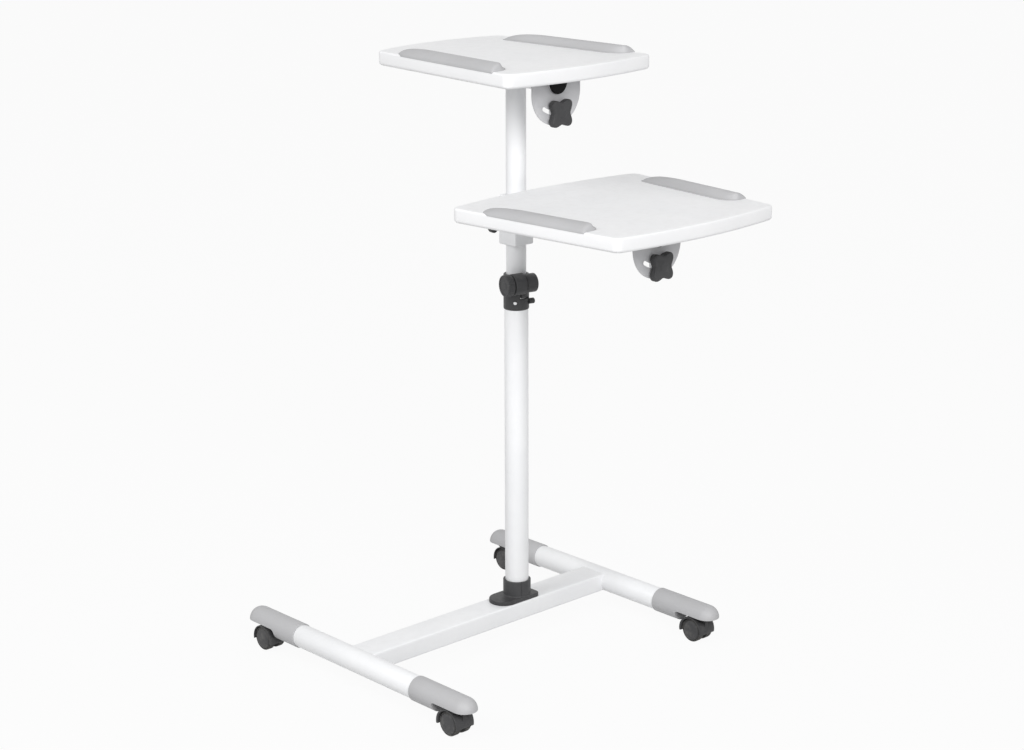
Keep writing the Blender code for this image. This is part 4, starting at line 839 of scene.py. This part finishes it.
def buildClampKnob():
    end = clamp["leftEarStart"] - clamp["knobGap"]
    start = end - clamp["knobWidth"]
    radius, edge, soft = clamp["leftEarRadius"], clamp["earEdge"], clamp["knobSoft"]
    dish = radius - clamp["knobRim"]
    floor = start + clamp["knobDish"]
    button = floor - clamp["knobButton"]
    washer = clamp["bolt"] * 2
    hubEnd = end + clamp["knobHub"]
    profile = [(0, button), (washer, button), (washer + 2 * soft, floor), (dish, floor)]
    profile += [(dish + clamp["knobRimSlope"], start), (radius, start), (radius, end)]
    profile += [(washer, end), (washer, hubEnd), (0, hubEnd)]
    radii = (0, soft, soft, soft, soft, edge, edge, soft, 0, 0)
    grip = turned("clamp_knob_grip", softCorners(profile, radii, 4, closed=False), clamp["knobRibs"] * 6)
    for vert in grip.data.vertices:  # shallow flutes round the grip
        if hypot(vert.co.x, vert.co.y) > radius - edge:
            swing = cos(clamp["knobRibs"] * atan2(vert.co.y, vert.co.x))
            vert.co.x *= 1 - clamp["ribShare"] * (1 - swing)
            vert.co.y *= 1 - clamp["ribShare"] * (1 - swing)
    dressed(moved(onClampBolt(grip), clampPlace), "blackMoulding", "clamp_knob")


buildClamp()
buildClampKnob()
print("column and clamp built")


# Mast, sleeve and the tubes that carry the trays

sleeve = {
    "round": 0.003,
    "leastRound": 0.001,
    "topTrim": 0.0045,
    "soft": 0.0006,
    "knob": {"tip": 0.0245, "waist": 0.0185, "width": 0.014, "edge": 0.0025},
    "knobTurn": radians(-38),
    "neckRadius": 0.0075,
    "screwRadius": 0.004,
}
pivot = {
    "radius": 0.021,
    "wall": 0.0025,
    "capRadius": 0.0227,
    "capWidth": 0.0045,
    "capRound": 0.0018,
    "capCrown": 0.0005,
    "plug": 0.012,
    "weldBead": 0.0016,
}


def buildMast():
    top = boxMiddle("head_tube").z
    tube = pipe("column_inner", tubes["innerRadius"], tubes["innerWall"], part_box("inner_column")[0].z, top)
    reach = tubes["innerRadius"] * 2
    saddle = moved(rod("saddle", pivot["radius"] + gap / 3, -reach, reach, 72), alongY)
    cut(shifted(tube, columnX, columnY), shifted(saddle, columnX, columnY, top))
    dressed(tube, "whitePaint", "inner_column")
    rows = []
    for angle in roundAngles(64):  # weld between the column and the head tube
        x, y = tubes["innerRadius"] * cos(angle), tubes["innerRadius"] * sin(angle)
        there = Vector((x, y, -sqrt(max(pivot["radius"] ** 2 - x ** 2, 0))))
        rows.append(beadRing(there, pivot["weldBead"], Vector((x, y, 0)).normalized(), Vector((0, 0, 1))))
    weld = shifted(skinned("weld_head", rows, joined=True), columnX, columnY, top)
    dressed(weld, "whitePaint", "inner_column", replaces=False)


def pivotCap(name, node, outward):
    low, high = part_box(node)
    face, rim, soft = pivot["capWidth"], pivot["capRadius"], pivot["capRound"]
    plug = pivot["radius"] - pivot["wall"] - gap
    profile = [(0, -pivot["plug"]), (plug, -pivot["plug"]), (plug, 0), (rim, 0)]
    profile += arc((rim - soft, face - soft), soft, 0, pi / 2, 5)
    profile += [(rim * 0.6, face + pivot["capCrown"] * 0.6), (0, face + pivot["capCrown"])]
    cap = moved(turned(name, profile), alongY if outward > 0 else halfTurn @ alongY)
    flange = high.y - face if outward > 0 else low.y + face
    # the caps take the near-black finish, whose colour paints in the shade of the tray above
    dressed(shifted(cap, columnX, flange, boxMiddle(node).z), "plugRubberPaintedShade", node)


def buildSleeve():
    low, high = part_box("sleeve_block")
    edge = sleeve["round"]

    def outline(inset):
        corners = rectangle(low.x + inset, low.y + inset, high.x - inset, high.y - inset)
        return softCorners(corners, (max(edge - inset / 2, sleeve["leastRound"]),) * 4, 5)

    body = stacked("sleeve", edgeLevels(low.z, high.z - sleeve["topTrim"], edge, edge), outline)
    bore = rod("bore", tubes["innerRadius"] + gap, low.z - overrun, high.z + overrun, 96)
    cut(body, shifted(bore, columnX, columnY))
    dressed(softened(body, sleeve["soft"], 2, 50), "whitePaint", "sleeve_block")


def lobedGrip(name, look):  # four rounded lobes with hollow sides
    def outline(inset):
        line = []
        for angle in roundAngles(96):
            wave = (0.5 - 0.5 * cos(4 * angle)) ** knob["lobeCurve"]
            radius = look["waist"] + (look["tip"] - look["waist"]) * wave - inset
            line.append((radius * cos(angle), radius * sin(angle)))
        return line

    return stacked(name, edgeLevels(0, look["width"], look["edge"], look["edge"], 5), outline)


knob = {
    "tip": 0.034,
    "waist": 0.0222,
    "width": 0.014,
    "edge": 0.003,
    "lobeCurve": 1.15,
    "hub": 0.010,
    "hubLength": 0.005,
    "hubRound": 0.0008,
    "button": 0.0095,
    "buttonLift": 0.0004,
    "soft": 0.0004,
}


def buildTiltKnob(tray):
    node = f"{tray}_tilt_knob"
    grip = shifted(lobedGrip(f"knob_{tray}", knob), z=knob["hubLength"])
    face = knob["hubLength"] + knob["width"]
    hub = softRod("hub", knob["hub"], 0, knob["hubLength"] + 2 * overlap, knob["hubRound"], 48)
    button = softRod("button", knob["button"], face - 2 * overlap, face + knob["buttonLift"], gap, 48)
    moved(fused(grip, hub, button), againstY)
    shifted(grip, columnX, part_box(node)[1].y, boxMiddle(node).z)
    dressed(softened(grip, knob["soft"], 2, 40), "blackMoulding", node)


def buildSleeveKnob():
    low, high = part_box("sleeve_knob")
    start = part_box("sleeve_block")[1].y + gap
    end = high.y - sleeve["knob"]["width"]
    grip = shifted(lobedGrip("knob_sleeve", sleeve["knob"]), z=end)
    neck = softRod("neck", sleeve["neckRadius"], start, end + 2 * overlap, overlap, 48)
    screw = rod("screw", sleeve["screwRadius"], low.y, start + 2 * overlap, 32)
    fused(grip, neck, screw)
    middle = boxMiddle("sleeve_knob")
    moved(grip, alongY @ Matrix.Rotation(sleeve["knobTurn"], 4, "Z"))
    dressed(shifted(grip, middle.x, 0, middle.z), "blackMoulding", "sleeve_knob")


buildMast()
levelTube("tube_head", "head_tube", pivot["radius"], pivot["wall"])
levelTube("tube_arm", "lower_arm", pivot["radius"], pivot["wall"])
pivotCap("cap_head_front", "head_cap_front", -1)
pivotCap("cap_head_rear", "head_cap_rear", 1)
pivotCap("cap_arm", "arm_cap", -1)
buildSleeve()
buildSleeveKnob()
for trayWord in ("lower", "upper"):
    buildTiltKnob(trayWord)
    kept(f"{trayWord}_tilt_lug", "whitePaint")
    kept(f"{trayWord}_tilt_bolt", "turnedSteel")
print("mast, sleeve and knobs built")


# Tilt plates

plate = {
    "half": 0.066,
    "thickness": 0.003,
    "arcDrop": 0.0195,
    "footHalf": {"front": 0.055, "rear": 0.04},
    "footDepth": 0.026,
    "eye": 0.0214,
    "earHalf": 0.0252,
    "slotRadius": 0.060,
    "slotHalf": 0.0043,
    "slotAngle": radians(34),
    "soft": 0.0006,
    "screwRadius": 0.0042,
    "screwHead": 0.0022,
    "screwRound": 0.0009,
    "socketRadius": 0.0019,
    "socketFloor": 0.0008,
    "screwForward": 0.55,  # as a share of the foot's depth
    "screwAcross": {"front": (0.044, 0.018), "rear": (0.031,)},
}


def slotOutline():
    half, radius, swing = plate["slotHalf"], plate["slotRadius"], plate["slotAngle"]
    start, end = -pi / 2 - swing, -pi / 2 + swing
    first, last = [(radius * cos(a), radius * sin(a)) for a in (start, end)]
    outline = arc((0, 0), radius + half, start, end, 30)
    outline += arc(last, half, end, end + pi, 10)[1:]
    outline += arc((0, 0), radius - half, end, start, 30)[1:]
    outline += arc(first, half, start + pi, start + 2 * pi, 10)[1:-1]
    return outline


def buildPlate(tray, end):
    node = f"{tray}_plate_{end}"
    low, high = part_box(node)
    axisZ = jointPlace(f"{tray}_tilt").z
    head = high.z - axisZ
    thick = plate["thickness"]
    half, drop = (plate["half"], plate["arcDrop"]) if end == "front" else (plate["earHalf"], 0)
    outline = [(-half, head)] + arc((0, -drop), half, pi, 2 * pi, 56) + [(half, head)]
    piece = extruded(f"plate_{tray}_{end}", outline, -thick / 2, thick / 2)
    footHalf = plate["footHalf"][end]
    fused(piece, block("tab", (-footHalf, head - thick, 0), (footHalf, head, plate["footDepth"])))
    cut(piece, rod("eye", plate["eye"], -thick, thick, 72))
    if end == "front":
        cut(piece, extruded("slot", slotOutline(), -thick, thick))
    softened(piece, plate["soft"], 3, 50)
    facing = 1 if end == "front" else -1  # which way the tab runs
    if facing > 0:
        moved(piece, Matrix.Rotation(pi, 4, "Y"))
    moved(piece, againstY)
    plateY = low.y + thick / 2 if facing > 0 else high.y - thick / 2
    dressed(shifted(piece, columnX, plateY, axisZ), "greyPaint", node)
    heads = []
    for across in plate["screwAcross"][end]:
        for side in (-1, 1):
            screw = softRod("screw", plate["screwRadius"], -plate["screwHead"], 0, plate["screwRound"], 28)
            cut(screw, rod("socket", plate["socketRadius"], -overrun, -plate["socketFloor"], 6))
            forward = facing * plate["footDepth"] * plate["screwForward"]
            heads.append(shifted(screw, columnX + side * across, plateY + forward, high.z - thick))
    screws = fused(heads[0], *heads[1:])
    screws.name = f"screws_{tray}_{end}"
    dressed(screws, "turnedSteel", node, replaces=False)


# Trays and their side lips

trays = {  # lipEnds: past the CAD lip's front end, and short of its back end
    "lower_tray": {
        "halfFront": 0.2176, "halfBack": 0.2555, "notch": True,
        "lipHeight": 0.0136, "lipEnds": (-0.003, 0.022),
    },
    "upper_tray": {
        "halfFront": 0.1985, "halfBack": 0.1685, "notch": False,
        "lipHeight": 0.0148, "lipEnds": (0.004, 0.026),
    },
}
trayShape = {
    "thickness": 0.0295,
    "topRound": 0.004,
    "bottomRound": 0.007,
    "skirt": 0.008,
    "panel": 0.008,
    "corner": 0.018,
    "innerRound": 0.0012,
    "innerLedge": 0.004,
    "rimFlat": 0.0005,
    "notchLength": 0.08,
    "frontBow": 0.019,
    "backBow": 0.025,
    "bowSteps": 26,
}
lip = {
    "width": 0.052,  # from the tray's side to the inner edge
    "crestShare": 0.46,
    "noseShift": 0.30,  # how far the crest moves inward at the front end, and over what length
    "noseReach": 0.050,
    "proud": 0.0003,  # how far the outer face stands out from the tray's side
    "seat": 0.0035,  # depth of the step that a lip stands in
    "outerFoot": 0.0022,  # height of the edge at the tray's side
    "innerFoot": 0.0011,
    "leastFoot": 0.35,  # share of the feet that is left at the ends
    "outerCurve": (1.6, 2.2),
    "innerCurve": 1.15,
    "frontReach": 0.009,  # length over which the height fades at the front
    "backReach": 0.100,
    "outerTurn": (0.003, 0.004, 0.026, 0.034),  # how far in and over what length, front then back
    "innerTurn": (0.032, 0.038, 0.010, 0.026),
    "stations": 76,
    "outerSteps": 12,
    "innerSteps": 16,
}


def trayEnds(name):  # y of the front and back corners, and the top
    low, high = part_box(name)
    return low.y + trayShape["frontBow"], high.y - trayShape["backBow"], low.z + trayShape["thickness"]


def trayOutline(name, inset):
    spec = trays[name]
    front, back = trayEnds(name)[:2]
    steps, corner = trayShape["bowSteps"], trayShape["corner"]
    points, radii = [], []
    for half, y, bow, way in ((spec["halfFront"], front, -trayShape["frontBow"], 1),
                              (spec["halfBack"], back, trayShape["backBow"], -1)):
        for i in range(steps + 1):
            share = way * (2 * i / steps - 1)
            atCorner = i in (0, steps)
            if not atCorner and half * (1 - abs(share)) < corner * 1.5:
                continue
            points.append(((half - inset) * share, y + bow * (1 - share ** 2) + way * inset))
            radii.append(corner - inset if atCorner else 0)
    return [(columnX + x, y) for x, y in softCorners(points, radii, 10)]


def sideX(name, y):  # half width of the tray at y
    spec = trays[name]
    front, back = trayEnds(name)[:2]
    share = (y - front) / (back - front)
    return spec["halfFront"] + (spec["halfBack"] - spec["halfFront"]) * share


def buildTray(name):
    back, top = trayEnds(name)[1:]
    bottom = top - trayShape["thickness"]
    ceiling = top - trayShape["panel"]
    skirt = trayShape["skirt"]
    soft = trayShape["innerRound"]
    levels = [(skirt + trayShape["innerLedge"], ceiling), (skirt + soft, ceiling)]
    levels += [(skirt, ceiling - soft), (skirt, bottom + trayShape["rimFlat"])]
    levels += edgeLevels(bottom, top, trayShape["bottomRound"], trayShape["topRound"], 6)
    board = stacked(f"{name}_board", levels, lambda inset: trayOutline(name, inset))
    if trays[name]["notch"]:
        start = back - trayShape["corner"]
        notch = rod("notch", pivot["radius"] + trayShape["topRound"], 0, trayShape["notchLength"], 72)
        axis = jointPlace(f"{name}_tilt")
        cut(board, shifted(moved(notch, alongY), columnX, start, axis.z))
    for side in sides:
        cut(board, lipSeat(name, side))
    dressed(board, "whiteBoard", name)


def endBulge(distance, reach):  # 1 at an end, 0 from reach on, along an ellipse
    near = max(0, 1 - distance / reach)
    return 1 - sqrt(1 - near ** 2)


def lipEdges(front, back, y):  # how far the outer and inner edges lie from the tray's side
    turns = []
    for depth, reach, backDepth, backReach in (lip["outerTurn"], lip["innerTurn"]):
        turns.append(depth * endBulge(y - front, reach) + backDepth * endBulge(back - y, backReach))
    return turns[0] - lip["proud"], lip["width"] - turns[1]


def lipPlaces(name, side):  # closer together towards the ends
    low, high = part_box(f"{name}_lip_{side}")
    past, short = trays[name]["lipEnds"]
    front, back, count = low.y - past, high.y - short, lip["stations"]
    return [front + (back - front) * (0.5 - 0.5 * cos(pi * i / count)) for i in range(count + 1)]


def lipSection(name, front, back, y):  # (inset, height) from the outer foot over the crest to the inner foot
    outer, inner = lipEdges(front, back, y)
    share = lip["crestShare"] + lip["noseShift"] * endBulge(y - front, lip["noseReach"])
    crest = outer + (inner - outer) * share
    swell = (1 - endBulge(y - front, lip["frontReach"])) * (1 - endBulge(back - y, lip["backReach"]))
    fade = max(lip["leastFoot"], swell)
    outerFoot, innerFoot = lip["outerFoot"] * fade, lip["innerFoot"] * fade
    height = outerFoot + (trays[name]["lipHeight"] - lip["outerFoot"]) * swell
    section = [(outer, gap - lip["seat"])]
    spread, rise = lip["outerCurve"]
    for i in range(lip["outerSteps"] + 1):
        along = (i / lip["outerSteps"]) ** spread
        climb = 1 - (1 - along) ** rise
        section.append((outer + (crest - outer) * along, outerFoot + (height - outerFoot) * climb))
    for i in range(1, lip["innerSteps"] + 1):
        along = i / lip["innerSteps"]
        fall = (0.5 + 0.5 * cos(pi * along)) ** lip["innerCurve"]
        section.append((crest + (inner - crest) * along, innerFoot + (height - innerFoot) * fall))
    section.append((inner, gap - lip["seat"]))
    return section


def buildLip(name, side):
    top = trayEnds(name)[2]
    places = lipPlaces(name, side)
    front, back = places[0], places[-1]
    hand = -1 if side == "left" else 1
    rows = []
    for y in places:
        edge = sideX(name, y)
        section = lipSection(name, front, back, y)
        rows.append([(columnX + hand * (edge - inset), y, top + up) for inset, up in section])
    dressed(skinned(f"lip_{name}_{side}", rows), "greyMoulding", f"{name}_lip_{side}", angle=60)


def lipSeat(name, side):  # cutter for the step, open at the tray's side
    top = trayEnds(name)[2]
    places = lipPlaces(name, side)
    front, back = places[0], places[-1]
    hand = -1 if side == "left" else 1
    outerLine, innerLine = [], []
    for y in places:
        edge = sideX(name, y)
        outer, inner = lipEdges(front, back, y)
        spread = y + (-gap if y < (front + back) / 2 else gap)
        outerLine.append((columnX + hand * (edge - outer + gap), spread))
        innerLine.append((columnX + hand * (edge - inner - gap), spread))
    return extruded("seat", outerLine + innerLine[::-1], top - lip["seat"], top + trayShape["panel"])


for trayName in trays:
    buildTray(trayName)
    for sideWord in sides:
        buildLip(trayName, sideWord)
    for endWord in ends:
        buildPlate(trayName, endWord)
print("trays, lips and plates built")


# Floor, light and camera

stage = {
    "floorHalf": 40.0,
    "floorColour": (0.57, 0.57, 0.57, 1.0),
    "floorRoughness": 0.9,
    "floorGlow": 0.94,  # share of plain white that camera, glossy and transmission rays see
    "skyStrength": 0.41,
    "aim": (0.05, -0.05, 0.72),
}
lamps = {
    "key": {"place": (-2.40, -4.90, 3.85), "size": 3.4, "power": 250.0},
    "side": {"place": (-4.1, 0.5, 3.7), "size": 2.6, "power": 92.0},
}
camera = {
    "place": (-3.0678, -3.29875, 1.9070),
    "yaw": radians(47.06),  # from +X
    "pitch": radians(16.07),  # below the horizon
    "roll": radians(0.16),
    "lens": 81.43,
    "sensor": 36.0,
    "farthest": 200,
}


def seenPlainly(tree):  # 1 for camera, glossy and transmission rays
    rays = tree.nodes.new("ShaderNodeLightPath")
    total = mathNode(tree, "MAXIMUM", rays.outputs["Is Camera Ray"], rays.outputs["Is Glossy Ray"])
    return mathNode(tree, "MAXIMUM", total, rays.outputs["Is Transmission Ray"])


def buildFloor():
    half = stage["floorHalf"]
    shape = bmesh.new()
    shape.faces.new([shape.verts.new((x, y, -gap)) for x, y in rectangle(-half, -half, half, half)])
    floor = newPiece("floor", shape)
    material = bpy.data.materials.new("floorWhite")
    material.use_nodes = True
    tree = material.node_tree
    shader = tree.nodes["Principled BSDF"]
    shader.inputs["Base Color"].default_value = stage["floorColour"]
    shader.inputs["Roughness"].default_value = stage["floorRoughness"]
    glow = tree.nodes.new("ShaderNodeEmission")
    mixed = tree.nodes.new("ShaderNodeMixShader")
    tree.links.new(mathNode(tree, "MULTIPLY", seenPlainly(tree), stage["floorGlow"]), mixed.inputs["Fac"])
    tree.links.new(shader.outputs["BSDF"], mixed.inputs[1])
    tree.links.new(glow.outputs["Emission"], mixed.inputs[2])
    tree.links.new(mixed.outputs["Shader"], tree.nodes["Material Output"].inputs["Surface"])
    floor.data.materials.append(material)


def buildWorld():
    world = bpy.data.worlds.new("studio")
    world.use_nodes = True
    bpy.context.scene.world = world
    tree = world.node_tree
    sky = tree.nodes["Background"]
    sky.inputs["Color"].default_value = (1, 1, 1, 1)
    dim = stage["skyStrength"]
    strength = mathNode(tree, "MULTIPLY_ADD", seenPlainly(tree), 1 - dim, dim)
    tree.links.new(strength, sky.inputs["Strength"])


def addLamp(name, look):
    lamp = bpy.data.lights.new(name, "AREA")
    lamp.shape = "DISK"
    lamp.size = look["size"]
    lamp.energy = look["power"]
    holder = placed(name, lamp)
    holder.location = look["place"]
    holder.rotation_euler = (Vector(stage["aim"]) - Vector(look["place"])).to_track_quat("-Z", "Y").to_euler()


def buildCamera():
    turn = Matrix.Rotation(camera["yaw"] - pi / 2, 4, "Z") @ Matrix.Rotation(pi / 2 - camera["pitch"], 4, "X")
    turn = turn @ Matrix.Rotation(-camera["roll"], 4, "Z")
    eye = bpy.data.cameras.new("camera")
    eye.lens = camera["lens"]
    eye.sensor_width = camera["sensor"]
    eye.clip_end = camera["farthest"]
    holder = placed("camera", eye)
    holder.matrix_world = Matrix.Translation(camera["place"]) @ turn
    bpy.context.scene.camera = holder


buildFloor()
buildWorld()
for lampWord, lampLook in lamps.items():
    addLamp(f"{lampWord}Lamp", lampLook)
buildCamera()
bpy.context.scene.view_settings.view_transform = "Standard"
print("floor, light and camera set")
